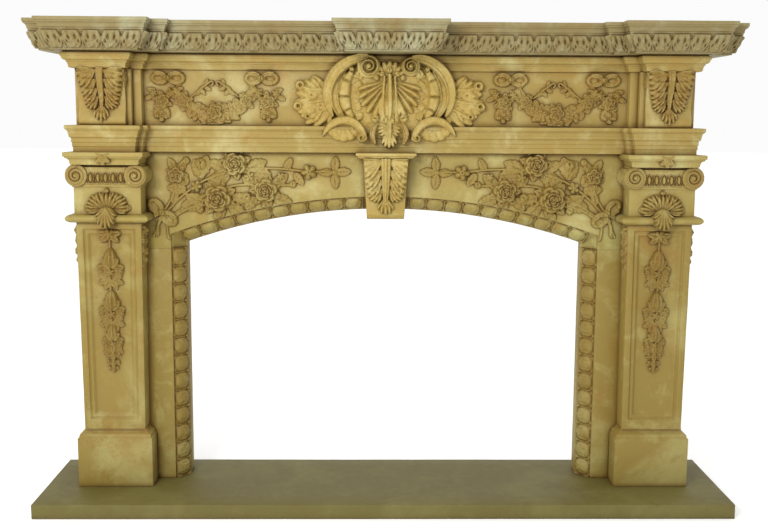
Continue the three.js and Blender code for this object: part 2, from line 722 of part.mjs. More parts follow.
// A swag of flowers hung from two bows, with a drop below each bow.
function garland(side) {
  const half = garlandBowSpread / 2;
  const high = friezeHeight * 0.34;
  const pieces = [];
  const place = (u, v, turn = 0) => ({
    x: side * (garlandSpread / 2) + u, z: friezeCentreZ + v, projection: mainProjection, turn,
  });
  const sag = friezeHeight * 0.74;
  const steps = 6;
  const swag = span(steps + 1).map((k) => {
    const u = mix(-half, half, k / steps);
    const depth = 1 - (u / half) ** 2;
    return [u, high - sag * Math.sqrt(Math.max(depth, 0)) * 0.94, 8 + 12 * depth, 12 + 8 * depth];
  });
  pieces.push(onFace(band(swag), place(0, 0)));
  const centreRose = flower(garlandRoseRadius, garlandRoseRadius * 1.15, 4, true);
  pieces.push(onFace(centreRose, place(0, -friezeHeight * 0.27)));
  [-1, 1].forEach((end) => {
    const bud = egg(garlandBudRadius, garlandBudRadius, garlandBudRadius);
    pieces.push(onFace(bud, place(end * half * 0.74, -friezeHeight * 0.03)));
    pieces.push(onFace(bud, place(end * half * 1.13, -friezeHeight * 0.1)));
    bow(garlandBowWidth, garlandBowWidth * 0.33).forEach((part) => {
      pieces.push(onFace(part, place(end * half, high)));
    });
    const husk = leaf(friezeHeight * 0.3, garlandBudRadius * 1.5, garlandBudRadius * 0.8);
    pieces.push(onFace(husk, place(end * half * 1.13, -friezeHeight * 0.14, Math.PI)));
    const sprig = [
      [end * half * 0.56, friezeHeight * 0.02, 3, 9], [end * half * 0.3, friezeHeight * 0.18, 8, 13],
      [end * half * 0.06, friezeHeight * 0.26, 0, 9],
    ];
    pieces.push(onFace(band(sprig), place(0, 0)));
  });
  return pieces;
}

function frieze() {
  const base = course(friezePlan(), [[0, friezeFoot], [0, bedFoot - joint]]);
  return unite([base, ...garland(-1), ...garland(1)]);
}

// The block over a capital, with an acanthus console on its front and a scroll on either cheek.
function consoleBlock(x) {
  const foot = friezeFoot;
  const top = bedFoot - joint;
  const block = course(blockPlan(x, pierBlockWidth, pierBlockProjection), [[0, foot], [0, top]]);
  const front = mainProjection + backingStep + frontBreakStep;
  const shares = [
    [0, 0.5], [0.06, 0.72], [0.16, 0.7], [0.3, 0.42], [0.5, 0.46],
    [0.72, 0.78], [0.88, 1], [0.96, 0.97], [1, 0.9],
  ];
  const faceAt = (up) => {
    const k = Math.max(shares.findIndex(([level]) => level >= up), 1);
    const [low, high] = [shares[k - 1], shares[k]];
    return mix(pierBlockProjection, front, mix(low[1], high[1], (up - low[0]) / (high[0] - low[0])));
  };
  const section = ([up, out]) => {
    const projection = mix(pierBlockProjection, front, out);
    const z = mix(foot, top, up);
    const half = frontBreakWidth / 2;
    return [
      [x - half, wallY - pierBlockProjection + 2, z], [x - half, wallY - projection, z],
      [x + half, wallY - projection, z], [x + half, wallY - pierBlockProjection + 2, z],
    ];
  };
  const pieces = [block, loft(shares.map(section))];
  const height = top - foot;
  const rows = [[0.94, 0.27, 0.46, 0.75], [0.56, 0.22, 0.44, 0.55]];
  rows.forEach(([up, across, long, splay]) => {
    [-1, 1].forEach((side) => {
      const lobe = leaf(height * long, frontBreakWidth * 0.34, 15);
      const turn = Math.PI + side * splay * 0.6;
      const at = { x: x + side * across * frontBreakWidth, z: foot + height * up, turn };
      pieces.push(onFace(lobe, { ...at, projection: faceAt(Math.max(up - 0.12, 0.05)) - 5 }));
    });
  });
  const rib = band([
    [0, height * 0.93, 14, 12], [0, height * 0.72, 12, 2],
    [0, height * 0.5, 10, -10], [0, height * 0.2, 8, -8],
  ]);
  pieces.push(onFace(rib, { x, z: foot, projection: front - 6 }));
  const curlY = wallY - mix(pierBlockProjection, front, 0.45);
  [-1, 1].forEach((side) => {
    const curl = scrollEnd(consoleCurlRadius, consoleCurlRadius * 0.28, frontBreakWidth * 0.2)
      .rotateY((side * Math.PI) / 2)
      .translate(x + (side * frontBreakWidth) / 2, curlY, foot + height * 0.8);
    pieces.push(curl);
  });
  return unite(pieces);
}

// The shelf's plan follows the breaks below and adds one more break over the cartouche.
function cornicePlan() {
  const main = mainProjection + bedMouldOverhang;
  const backing = main + backingStep;
  const front = backing + frontBreakStep;
  const endX = pierX + pierBlockWidth / 2 + shelfEndOverhang - corniceOverhang;
  const backHalf = backingWidth / 2 + bedMouldOverhang;
  const frontHalf = shelfBreakWidth / 2;
  const centreHalf = centreBreakWidth / 2 - corniceOverhang;
  const left = [
    [-endX, 0], [-endX, backing], [-pierX - frontHalf, backing], [-pierX - frontHalf, front],
    [-pierX + frontHalf, front], [-pierX + frontHalf, backing], [-pierX + backHalf, backing],
    [-pierX + backHalf, main],
  ];
  const centreFront = main + centreBreakStep;
  const centre = [
    [axisShift - centreHalf, main], [axisShift - centreHalf, centreFront],
    [axisShift + centreHalf, centreFront], [axisShift + centreHalf, main],
  ];
  return [...left, ...centre, ...left.map(([x, p]) => [-x, p]).reverse()];
}

const lipIn = corniceOverhang - corniceLipOverhang;
const cornicePlanCorners = cornicePlan();
const corniceSteps = [
  [0, 0], [0, 0.07], [0.13, 0.12], [0.68, 0.6], [0.66, 0.68], [0.71, 0.77], [0.92, 0.83], [1, 0.9], [1, 1],
].map(([out, up]) => [lipIn + out * corniceLipOverhang, corniceFoot + up * corniceHeight]);

// Upright leaves along the shelf's hollow, one row for each straight run of the plan.
function shelfLeaves() {
  const loop = planLoop(cornicePlanCorners, lipIn, corniceFoot);
  const footZ = corniceFoot + corniceHeight * 0.12;
  const leafHeight = corniceHeight * 0.46;
  const pieces = [];
  loop.forEach((from, i) => {
    const to = loop[i + 1];
    if (!to) return;
    const run = Math.hypot(to[0] - from[0], to[1] - from[1]);
    const count = Math.round((run + leafLean) / leafPitch);
    if (count < 1) return;
    const heading = Math.atan2(to[1] - from[1], to[0] - from[0]);
    span(count).forEach((k) => {
      const share = (k + 0.5) / count;
      const blade = shelfLeaf(Math.min(run / count, leafPitch * 1.15), leafHeight);
      pieces.push(blade
        .rotateZ(heading)
        .translate(mix(from[0], to[0], share), mix(from[1], to[1], share), footZ));
    });
  });
  return pieces;
}

// One shelf leaf, opening and leaning out as it rises: two halves that meet on a raised rib.
function shelfLeaf(pitch, height) {
  const section = (up, half, rib) => {
    const lean = -leafLean * up;
    const fold = rib / 2;
    const z = up * height;
    return [[-half * pitch, lean + fold, z], [0, lean - rib, z], [half * pitch, lean + fold, z]];
  };
  return loft([[[0, 0, 0]], section(1, 0.48, leafLean / 3)]);
}

function cornice() {
  const shelf = course(cornicePlanCorners, corniceSteps);
  return unite([shelf, ...shelfLeaves()]);
}

// Cartouche: scrolls, leafy wings, a shell and a pendant leaf, applied over three courses. Its carving
// is drawn on a field of this size, about its own middle, and then brought to the cartouche's size.
const drawnField = { width: 620, height: 310 };

function cartouche() {
  const centreZ = friezeCentreZ - cartoucheDrop;
  const unit = cartoucheWidth / drawnField.width;
  const tall = cartoucheHeight / drawnField.height;
  const face = mainProjection;
  const build = cartoucheProjection - mainProjection;
  const place = (u, v, lift = 0, turn = 0) => ({
    x: axisShift + u * unit, z: centreZ + v * tall, projection: face + lift * build, turn,
  });
  const scaled = (stations) => stations.map(([u, v, half, rise]) => (
    [u * unit, v * tall, half * unit, rise * build]
  ));
  const run = (stations, lift = 0) => onFace(band(scaled(stations)), place(0, 0, lift));
  const field = loft([
    oval(0, 0, 140, 118, -sink), oval(0, 0, 128, 106, build * 0.45),
  ]);
  const pieces = [onFace(field, place(0, 14))];
  [-1, 1].forEach((side) => {
    pieces.push(run([
      [side * 40, 140, 14, 0.8], [side * 76, 146, 20, 0.85],
      [side * 118, 138, 21, 0.8], [side * 160, 112, 18, 0.72],
      [side * 194, 74, 14, 0.6], [side * 216, 44, 12, 0.5], [side * 246, 22, 0, 0.4],
    ]));
    const eye = scrollEnd(38 * unit, build * 0.34, build * 0.9);
    pieces.push(onFace(eye, place(side * 67, 112, 0.68)));
    pieces.push(run([
      [side * 132, 78, 10, 0.66], [side * 146, 40, 14, 0.74],
      [side * 144, -2, 14, 0.74], [side * 124, -40, 10, 0.66],
    ]));
    wingLeaves.forEach(([u, v, length, width, angle, lift]) => {
      const blade = leaf(length * unit, width * unit, build * 0.34);
      pieces.push(onFace(blade, place(side * u, v, lift, side * angle)));
    });
    [[288, 54], [296, -14]].forEach(([u, v]) => {
      pieces.push(onFace(egg(15 * tall, 14 * unit, build * 0.42), place(side * u, v)));
    });
    pieces.push(run([
      [side * 58, -112, 10, 0.5], [side * 76, -78, 12, 0.6],
      [side * 112, -58, 12, 0.6], [side * 158, -62, 12, 0.58],
      [side * 196, -92, 9, 0.5], [side * 208, -112, 0, 0.4],
    ]));
    const curl = egg(16 * tall, 16 * unit, build * 0.55);
    pieces.push(onFace(curl, place(side * 64, -106)));
  });
  const fan = shell(118, build * 0.46, 6, -Math.PI * 0.02, -Math.PI * 0.98, 0.98);
  pieces.push(onFace(fan, place(0, 66, 0.42)));
  [[0, 52, 0, 1], [-30, 44, 0.5, 0.8], [30, 44, -0.5, 0.8]].forEach(([u, width, turn, long]) => {
    const hanging = leaf(96 * long * tall, width * unit, build * 0.45);
    pieces.push(onFace(hanging, { ...place(u * 0.5, -54, 0.3), turn: Math.PI - turn }));
  });
  const seat = course(blockPlan(axisShift, cartoucheWidth * 2, mainProjection + joint), [
    [0, architraveFoot], [architraveOverhang, friezeFoot - architraveHeight * 0.11],
    [architraveOverhang, friezeFoot],
    [0, friezeFoot + joint], [0, bedFoot - joint], [bedMouldOverhang * 0.3, bedFoot],
    [bedMouldOverhang, corniceFoot - bedMouldHeight * 0.34], [bedMouldOverhang, corniceFoot],
  ]);
  const under = course(blockPlan(axisShift, cartoucheWidth * 2, hearthDepth), [
    [0, corniceFoot - joint], [0, corniceFoot + corniceHeight],
  ]);
  return cutAway(unite(pieces), [seat, under]);
}

// The leaves of one wing: place, length, width, angle and lift.
const wingLeaves = [
  [180, 74, 112, 60, -1.77, 0.06], [176, 30, 130, 66, -1.94, 0.06], [160, -6, 106, 70, -2.2, 0.05],
];

function oval(u, v, halfWidth, halfHeight, w) {
  const sides = 10;
  return span(sides).map((k) => {
    const angle = (2 * Math.PI * k) / sides;
    return [u + halfWidth * Math.cos(angle), v + halfHeight * Math.sin(angle), w];
  });
}

// The finished mantel.
const mantel = new THREE.Group();

function addStone(name, shape, finish) {
  const mesh = new THREE.Mesh(asGeometry(shape), new THREE.MeshStandardMaterial(finish));
  mesh.name = name;
  mantel.add(mesh);
}

const hearth = new THREE.BoxGeometry(hearthWidth, hearthDepth, hearthHeight);
hearth.translate(0, 0, hearthHeight / 2);
addStone('hearth_slab', body(hearth), stone.grey);

[['left', -1], ['right', 1]].forEach(([name, side]) => {
  addStone(`plinth_${name}`, plinth(side * pierX), stone.honey);
  addStone(`shaft_${name}`, shaft(side * pierX), stone.honey);
  addStone(`capital_${name}`, capital(side * pierX), stone.pale);
  addStone(`jamb_${name}`, jamb(side), stone.honey);
  addStone(`lintel_${name}`, lintel(side), stone.pale);
  addStone(`console_${name}`, consoleBlock(side * pierX), stone.honey);
});
addStone('keystone', keystone(), stone.ochre);
addStone('architrave', body(course(architravePlan, architraveProfile)), stone.honey);
addStone('frieze', frieze(), stone.honey);
addStone('bed_moulding', body(course(bedPlan, bedProfile)), stone.honey);
addStone('cornice_shelf', cornice(), stone.grey);
addStone('cartouche', cartouche(), stone.ochre);

export default mantel;
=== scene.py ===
# %% [markdown]
# # A carved limestone fireplace mantel
# The frame is the plain construction: nineteen stones at their real size and place. This lesson
# carves each of them again, finer, and gives them the look of an old honey-coloured limestone.

# %% Load the frame
import json
import math
import random

import bmesh
import bpy
import numpy as np
from mathutils import Matrix, Vector


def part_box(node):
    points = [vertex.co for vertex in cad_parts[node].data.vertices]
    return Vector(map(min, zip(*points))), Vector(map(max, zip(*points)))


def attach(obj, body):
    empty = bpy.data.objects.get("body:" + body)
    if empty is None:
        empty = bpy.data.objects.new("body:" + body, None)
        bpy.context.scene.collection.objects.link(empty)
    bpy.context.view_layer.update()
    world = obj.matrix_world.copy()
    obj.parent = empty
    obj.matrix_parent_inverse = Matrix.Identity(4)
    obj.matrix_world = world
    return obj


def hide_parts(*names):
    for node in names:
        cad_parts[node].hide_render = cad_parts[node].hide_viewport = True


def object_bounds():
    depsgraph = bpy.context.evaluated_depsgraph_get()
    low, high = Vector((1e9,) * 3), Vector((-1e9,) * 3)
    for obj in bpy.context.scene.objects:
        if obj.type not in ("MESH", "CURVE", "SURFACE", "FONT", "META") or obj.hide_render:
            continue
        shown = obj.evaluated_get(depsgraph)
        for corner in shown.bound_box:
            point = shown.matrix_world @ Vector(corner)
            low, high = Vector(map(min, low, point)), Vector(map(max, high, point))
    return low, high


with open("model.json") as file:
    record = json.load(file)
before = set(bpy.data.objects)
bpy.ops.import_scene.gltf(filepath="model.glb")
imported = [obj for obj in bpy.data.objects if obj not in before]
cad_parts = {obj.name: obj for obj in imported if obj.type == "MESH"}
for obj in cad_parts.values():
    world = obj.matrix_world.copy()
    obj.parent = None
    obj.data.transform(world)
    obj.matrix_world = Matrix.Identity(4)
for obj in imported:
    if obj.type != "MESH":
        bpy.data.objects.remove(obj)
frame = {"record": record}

cad_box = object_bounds()
print("frame box", [round(v, 3) for v in (*cad_box[0], *cad_box[1])])

# %% [markdown]
# ## The camera
# The camera comes first, because it decides how fine the carving has to be. It stands three and a
# half metres out from the wall side, 1.27 m up, and looks slightly down. It could be turned by eye,
# but pitch, yaw and roll as three named angles are easier to read and to change. One picture element
# covers about three millimetres of stone, so the relief is carved at half of that.

# %% Camera
CAMERA_PLACE = Vector((-0.0644, -3.4954, 1.273))
PITCH, YAW, ROLL = 0.1386, 0.0173, 0.0059
forward = Vector((math.sin(YAW) * math.cos(PITCH), math.cos(YAW) * math.cos(PITCH), -math.sin(PITCH)))
level_right = Vector((math.cos(YAW), -math.sin(YAW), 0))
level_up = level_right.cross(forward)
camera_right = math.cos(ROLL) * level_right + math.sin(ROLL) * level_up
camera_up = math.cos(ROLL) * level_up - math.sin(ROLL) * level_right
camera = bpy.data.objects.new("camera", bpy.data.cameras.new("camera"))
camera.data.sensor_width = 36
camera.data.lens = 50
turned = Matrix((camera_right, camera_up, -forward)).transposed()
camera.matrix_world = Matrix.Translation(CAMERA_PLACE) @ turned.to_4x4()
bpy.context.scene.collection.objects.link(camera)
bpy.context.scene.camera = camera
print("camera", tuple(round(v, 3) for v in camera.location))

# %% [markdown]
# ## Sizes
# Places come from the frame's boxes where a box gives them, so the carving follows the frame when a
# stone moves. The rest are levels and widths inside one stone, which no box can give. "Projection" is
# how far a face stands out from the wall plane, so a point's Y is the wall's Y less its projection.

# %% Sizes
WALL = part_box("hearth_slab")[1].y
HEARTH_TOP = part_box("hearth_slab")[1].z
JOINT = 0.0003
PIER_X = sum(c.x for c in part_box("plinth_right")) / 2
PLINTH_TOP = 0.213
SHAFT_FOOT, SHAFT_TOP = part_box("shaft_right")[0].z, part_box("shaft_right")[1].z
SHAFT_WIDTH, SHAFT_TOP_WIDTH = 0.200, 0.209
SHAFT_OUT, SHAFT_TOP_OUT = 0.272, 0.280
NECK_FOOT, NECK_TOP = 0.960, 1.049
NECK_WIDTH, NECK_OUT = 0.214, 0.288
ABACUS_FOOT = 1.118
COURSE_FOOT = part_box("architrave")[0].z
FRIEZE_FOOT, FRIEZE_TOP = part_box("frieze")[0].z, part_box("frieze")[1].z
BED_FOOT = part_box("bed_moulding")[0].z
SHELF_FOOT, SHELF_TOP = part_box("cornice_shelf")[0].z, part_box("cornice_shelf")[1].z
OPENING_HALF = 0.666
SPRING = 0.854
ARCH_RISE = 0.114
JAMB_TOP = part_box("jamb_right")[1].z
SLAB_OUT, SLAB_BACK = 0.198, 0.090
SLAB_EDGE = PIER_X - SHAFT_WIDTH / 2 - JOINT
ARCH_RADIUS = (OPENING_HALF ** 2 + ARCH_RISE ** 2) / (2 * ARCH_RISE)
ARCH_CENTRE = SPRING + ARCH_RISE - ARCH_RADIUS
MAIN_OUT = 0.236
BACKING = 0.038
FRONT_BREAK = 0.064
AXIS_X = 0.010
MARGIN = 0.0002
BOX_LOW, BOX_HIGH = np.array(cad_box[0]) + MARGIN, np.array(cad_box[1]) - MARGIN
print("pier axis", round(PIER_X, 4), "arch radius", round(ARCH_RADIUS, 3))

# %% [markdown]
# ## A mason's way of working
# A stone is first squared and its mouldings are run, and then the ornament is carved out of what
# was left standing. In Blender that is two meshes: the squared stone, and the ornament, which is
# carved on a grid and bent onto the stone's face. The ornament's back is sunk in the block, and both
# are joined as one piece. First come the small helpers that every step needs. An operator acts on all
# that is selected, so each one starts from an empty selection.

# %% Helpers: selection and finishing
def fresh():
    """Object mode with nothing selected, so that an operator acts only on what is made next."""
    if bpy.context.object and bpy.context.object.mode != "OBJECT":
        bpy.ops.object.mode_set(mode="OBJECT")
    bpy.ops.object.select_all(action="DESELECT")


def only(*objects):
    fresh()
    for ob in objects:
        ob.select_set(True)
    bpy.context.view_layer.objects.active = objects[0]
    return objects[0]


def joined(name, objects):
    """One object from several, with every place brought into the mesh."""
    whole = only(*objects)
    bpy.ops.object.transform_apply(location=True, rotation=True, scale=True)
    if len(objects) > 1:
        bpy.ops.object.join()
    whole.name = whole.data.name = name
    return whole


def apply_modifier(ob, kind, **settings):
    only(ob)
    modifier = ob.modifiers.new(kind.lower(), kind)
    for key, value in settings.items():
        setattr(modifier, key, value)
    bpy.ops.object.modifier_apply(modifier=modifier.name)


def triangles(ob):
    return sum(len(p.vertices) - 2 for p in ob.data.polygons)


def edit_faces(ob, test):
    """Edit mode with the faces whose middle and normal pass the test selected."""
    only(ob)
    bpy.ops.object.mode_set(mode="EDIT")
    bpy.ops.mesh.select_mode(type="FACE")
    bpy.ops.mesh.select_all(action="DESELECT")
    mesh = bmesh.from_edit_mesh(ob.data)
    for face in mesh.faces:
        face.select_set(test(face.calc_center_median(), face.normal))
    bmesh.update_edit_mesh(ob.data)


def edit_points(ob, test):
    """Edit mode with the vertices that pass the test selected."""
    only(ob)
    bpy.ops.object.mode_set(mode="EDIT")
    bpy.ops.mesh.select_mode(type="VERT")
    bpy.ops.mesh.select_all(action="DESELECT")
    mesh = bmesh.from_edit_mesh(ob.data)
    for vert in mesh.verts:
        vert.select_set(test(vert.co))
    mesh.select_flush(True)
    bmesh.update_edit_mesh(ob.data)


# %% [markdown]
# Worn arrises and hand-cut waviness finish every squared stone. The bevel takes a millimetre off
# each arris, and the waviness moves the surface by half a millimetre over a hand's breadth. A Displace
# modifier with a cloud texture could do the same, but it pushes along the normals, which would open
# the joints at a corner. A sum of slow waves over the point's own place moves both sides of a corner
# together, and it never passes the frame's box.

# %% Helpers: wear
WAVE_SEED = 11
wave_rng = np.random.default_rng(WAVE_SEED)
BEVEL_CORNER = math.radians(28)


def slow_wave(length):
    """A wave's run, its phase and the way that it pushes."""
    run = wave_rng.normal(size=3) * 2 * math.pi / length
    return run, wave_rng.uniform(0, 2 * math.pi), wave_rng.normal(size=3)


WAVES = [slow_wave(length) for length in (0.30, 0.19, 0.12, 0.08, 0.05, 0.035)]


def points_of(ob):
    co = np.empty(len(ob.data.vertices) * 3, np.float32)
    ob.data.vertices.foreach_get("co", co)
    return co.reshape(-1, 3)


def set_points(ob, co):
    ob.data.vertices.foreach_set("co", np.ascontiguousarray(co, np.float32).ravel())
    ob.data.update()


def waver(ob, amount):
    """Moves every vertex a little along a sum of slow waves, and keeps it inside the frame's box."""
    co = points_of(ob)
    shift = np.zeros_like(co)
    for wave, phase, way in WAVES:
        shift += np.sin(co @ wave + phase)[:, None] * way * amount / len(WAVES)
    back = np.abs(co[:, 1] - WALL) < 0.0005
    shift[back, 1] = 0
    set_points(ob, np.clip(co + shift, BOX_LOW, BOX_HIGH))


def worn(ob, bevel=0.0012, amount=0.0006):
    if bevel:
        apply_modifier(ob, "BEVEL", width=bevel, segments=2, limit_method="ANGLE", angle_limit=BEVEL_CORNER)
    waver(ob, amount)
    only(ob)
    bpy.ops.object.shade_smooth_by_angle(angle=math.radians(38))
    return ob


# %% [markdown]
# ### Sections and skins
# A moulding's section is drawn once and follows the stone's plan round every break, on a mitre, as
# a mason runs it with a template. A curve with a bevel object would do this on a soft path, but it
# twists at square corners, so here each step of the section is one loop round the plan, and the loops
# are skinned. Straight steps and round ones are both [out, up] points; `swell` gives the round ones.

# %% Helpers: sections and skins
def skin(name, rows):
    """A closed stone through drawn loops of points that all have the same count."""
    mesh = bmesh.new()
    loops = [[mesh.verts.new(p) for p in row] for row in rows]
    for low, high in zip(loops, loops[1:]):
        for k in range(len(low)):
            n = (k + 1) % len(low)
            mesh.faces.new((low[k], low[n], high[n], high[k]))
    mesh.faces.new(loops[0][::-1])
    mesh.faces.new(loops[-1])
    bmesh.ops.recalc_face_normals(mesh, faces=mesh.faces)
    data = bpy.data.meshes.new(name)
    mesh.to_mesh(data)
    mesh.free()
    ob = bpy.data.objects.new(name, data)
    bpy.context.scene.collection.objects.link(ob)
    return ob


def swell(start, end, kind, steps=6):
    """Points of a quarter or double curve between two [out, up] places, without the first one."""
    points = []
    for k in range(1, steps + 1):
        t = k / steps
        if kind == "ovolo":
            a, b = math.sin(t * math.pi / 2), 1 - math.cos(t * math.pi / 2)
        elif kind == "cove":
            a, b = 1 - math.cos(t * math.pi / 2), math.sin(t * math.pi / 2)
        else:
            a, b = (1 - math.cos(t * math.pi)) / 2, t
        points.append([start[0] + (end[0] - start[0]) * a, start[1] + (end[1] - start[1]) * b])
    return points


def plan_row(plan, out, level):
    """The plan's corners moved outwards on their mitres; the two ends stay on the wall."""
    row = []
    last = len(plan) - 1
    for i, (x, projection) in enumerate(plan):
        dx = dp = 0
        for a, b in ((i - 1, i), (i, i + 1)):
            if a < 0 or b > last:
                continue
            dx -= np.sign(round(plan[b][1] - plan[a][1], 6))
            dp += np.sign(round(plan[b][0] - plan[a][0], 6))
        away = 0 if i in (0, last) else np.sign(dp) * out
        row.append((x + np.sign(dx) * out, WALL - projection - away, level))
    return row


def course(name, plan, section, pitch=0.03):
    """A moulding's [out, up] section run round a plan, with points close enough for it to waver."""
    counts = [max(1, int(math.dist(a, b) / pitch)) for a, b in zip(plan, plan[1:])]
    rows = []
    for out, level in section:
        corners = plan_row(plan, out, level)
        row = [corners[0]]
        for a, b, count in zip(corners, corners[1:], counts):
            row += [tuple(p + (q - p) * k / count for p, q in zip(a, b)) for k in range(1, count + 1)]
        rows.append(row)
    return skin(name, rows)


def block_plan(x, width, projection):
    """The plan of one block that stands on the wall."""
    left, right = x - width / 2, x + width / 2
    return [(left, 0), (left, projection), (right, projection), (right, 0)]


def mirrored(ob, name):
    """The left-hand twin of a right-hand stone, with its faces turned out again."""
    twin = ob.copy()
    twin.data = ob.data.copy()
    bpy.context.scene.collection.objects.link(twin)
    twin.data.transform(Matrix.Scale(-1, 4, Vector((1, 0, 0))))
    only(twin)
    twin.name = twin.data.name = name
    bpy.ops.object.mode_set(mode="EDIT")
    bpy.ops.mesh.select_all(action="SELECT")
    bpy.ops.mesh.flip_normals()
    bpy.ops.object.mode_set(mode="OBJECT")
    return twin


# %% [markdown]
# ## Ornament, as a carver does it
# A carver draws the ornament on the face, sinks the ground round it, and models what is left
# standing. Here the drawing board is a canvas: a fine grid over one face that holds how far the
# stone stands out at each point. Roses, leaves and scrolls are laid on it one over the other, and
# the finished canvas is then bent onto its stone and closed at the back. Sculpt mode is the way by
# hand, but it can't be written down as steps, and joined copies of leaves would leave sharp seams.

# %% Helpers: canvas
PITCH = 0.0016 * 1


def canvas(low, high, pitch=PITCH):
    counts = [round((b - a) / pitch) + 1 for a, b in zip(low, high)]
    axes = [np.linspace(a, b, n) for a, b, n in zip(low, high, counts)]
    u, v = np.meshgrid(*axes, indexing="ij")
    step = [(b - a) / (n - 1) for a, b, n in zip(low, high, counts)]
    return {"u": u, "v": v, "h": np.zeros_like(u), "low": low, "step": step}


def window(c, x, z, reach):
    spans = []
    for place, low, step, count in zip((x, z), c["low"], c["step"], c["h"].shape):
        first = int((place - reach - low) / step)
        last = int((place + reach - low) / step) + 2
        spans.append(slice(min(max(first, 0), count), min(max(last, 0), count)))
    return tuple(spans)


def lay(c, form, x, z, size, turn=0.0, lift=0.0, deep=None, over=0.5, squash=1.0):
    """Carves a unit form; turn is anticlockwise, and `over` is how much of what it covers lifts it."""
    area = window(c, x, z, size * 1.1)
    u, v = c["u"][area] - x, c["v"][area] - z
    across = (u * math.cos(turn) + v * math.sin(turn)) / (size * squash)
    along = (v * math.cos(turn) - u * math.sin(turn)) / size
    shape = form(across, along)
    old = c["h"][area]
    new = np.maximum(lift, old * over) + shape * (size if deep is None else deep)
    c["h"][area] = np.where(shape > 0, np.maximum(new, old), old)


def drill(c, x, z, radius, share=0.8):
    """A drilled hole: the carver's quick way to a deep shadow."""
    area = window(c, x, z, radius * 2)
    r = np.hypot(c["u"][area] - x, c["v"][area] - z)
    c["h"][area] *= 1 - share * np.exp(-(r / radius) ** 4)


def roughened(c, amount, seed):
    """Tool marks and wear: a seeded unevenness, a few millimetres wide, on all that stands out."""
    rng = np.random.default_rng(seed)
    marks = np.zeros_like(c["h"])
    for rounds, share in ((2, 0.35), (8, 0.7), (24, 0.8)):
        field = rng.normal(size=marks.shape)
        for _ in range(rounds):
            around = field + np.roll(field, 1, 0) + np.roll(field, -1, 0)
            field = (around + np.roll(field, 1, 1) + np.roll(field, -1, 1)) / 5
        marks += share * field / field.std()
    c["h"] = np.where(c["h"] > amount * 3, c["h"] + amount * marks, c["h"])


# %% [markdown]
# ### Flowers
# Each flower is a unit form: a height for every place in a circle of radius one. A garden rose is
# four rings of cupped petals round a bud, each ring shorter and higher than the one outside it, and a
# petal's one side lies over its neighbour. The small flower has five petals and a drilled heart.

# %% Flowers
ROSE_RINGS = ((1.0, 5, 0.0, 0.12, 0.34), (0.76, 5, 0.62, 0.20, 0.44), (0.52, 4, 0.2, 0.36, 0.46),
              (0.31, 3, 0.9, 0.54, 0.4))


def rose_form(x, z):
    r, a = np.hypot(x, z), np.arctan2(x, z)
    form = np.zeros_like(x)
    for radius, count, phase, foot, lip in ROSE_RINGS:
        f = 2 * (((a + phase) * count / (2 * math.pi)) % 1) - 1
        s = r / (radius * (1 - 0.22 * np.abs(f) ** 2.5))
        petal = foot + lip * s ** 2 - 0.20 * np.clip((s - 0.84) / 0.16, 0, 1) ** 2
        petal = petal - 0.16 * np.abs(f) ** 5 + 0.05 * f
        form = np.where(s < 1, np.maximum(petal, 0.03), form)
    return np.where(r < 0.10, 0.62, form)


def flower_form(x, z):
    r, a = np.hypot(x, z), np.arctan2(x, z)
    f = 2 * ((a * 5 / (2 * math.pi)) % 1) - 1
    s = r / (1 - 0.40 * np.abs(f) ** 2)
    cup = 0.36 * np.sin(math.pi * np.clip(s, 0, 1) ** 0.8) * (1 - 0.5 * np.abs(f) ** 3)
    petal = 0.24 + cup - 0.10 * np.abs(f)
    heart = 0.60 + 0.3 * np.sqrt(np.clip(1 - (r / 0.32) ** 2, 0, 1)) - 0.45 * np.exp(-(r / 0.10) ** 2)
    return np.where(r < 0.32, heart, np.where(s < 1, petal, 0))


def disc_form(x, z):
    return np.where(np.hypot(x, z) < 1, 1.0, 0.0)


def ball_form(x, z):
    return np.sqrt(np.clip(1 - x ** 2 - z ** 2, 0, 1))


def bud_form(x, z):
    r = np.hypot(x, z)
    seam = np.exp(-(np.abs(x - 0.25 * z) / 0.10) ** 2) + np.exp(-(np.abs(x + 0.45 * z - 0.1) / 0.08) ** 2)
    return np.where(r < 1, np.maximum(np.sqrt(np.clip(1 - r ** 2, 0, 1)) + 0.1 - 0.28 * seam, 0.03), 0)


def pod_form(x, z):
    """A seed pod: wider at its foot, ribbed, with a small crown."""
    wide = 0.80 - 0.24 * z
    r = np.hypot(x / wide, z)
    body = np.sqrt(np.clip(1 - r ** 2, 0, 1)) * (0.86 + 0.14 * np.cos(10 * x / wide))
    return np.where(r < 1, np.maximum(body, 0.05), 0)


# %% [markdown]
# ### Leaves
# A rose leaf is toothed, with a sunk midrib and veins. An acanthus frond is a fan of rounded fingers,
# and a whole acanthus leaf is pairs of fronds laid from its tip back to its stalk, with a rib over
# them. Stems, ribbons and scrolls are strokes: a band of changing width and rise along a line.

# %% Leaves
def leaf_form(x, z):
    along = np.clip(z, 0.001, 0.999)
    teeth = 0.86 + 0.20 * np.abs(np.sin(4.5 * math.pi * along)) ** 0.7
    half = 0.30 * np.sin(math.pi * along ** 0.85) ** 0.65 * teeth + 0.015
    t = np.abs(x) / half
    veins = np.cos(2 * math.pi * (5 * along - 4.5 * np.abs(x)))
    blade = np.sqrt(np.clip(1 - t ** 3, 0, 1)) * (0.24 + 0.12 * along + 0.035 * veins)
    form = blade - 0.13 * np.exp(-(x / 0.03) ** 2)
    return np.where((t < 1) & (z > 0) & (z < 1), np.maximum(form, 0.03), 0)


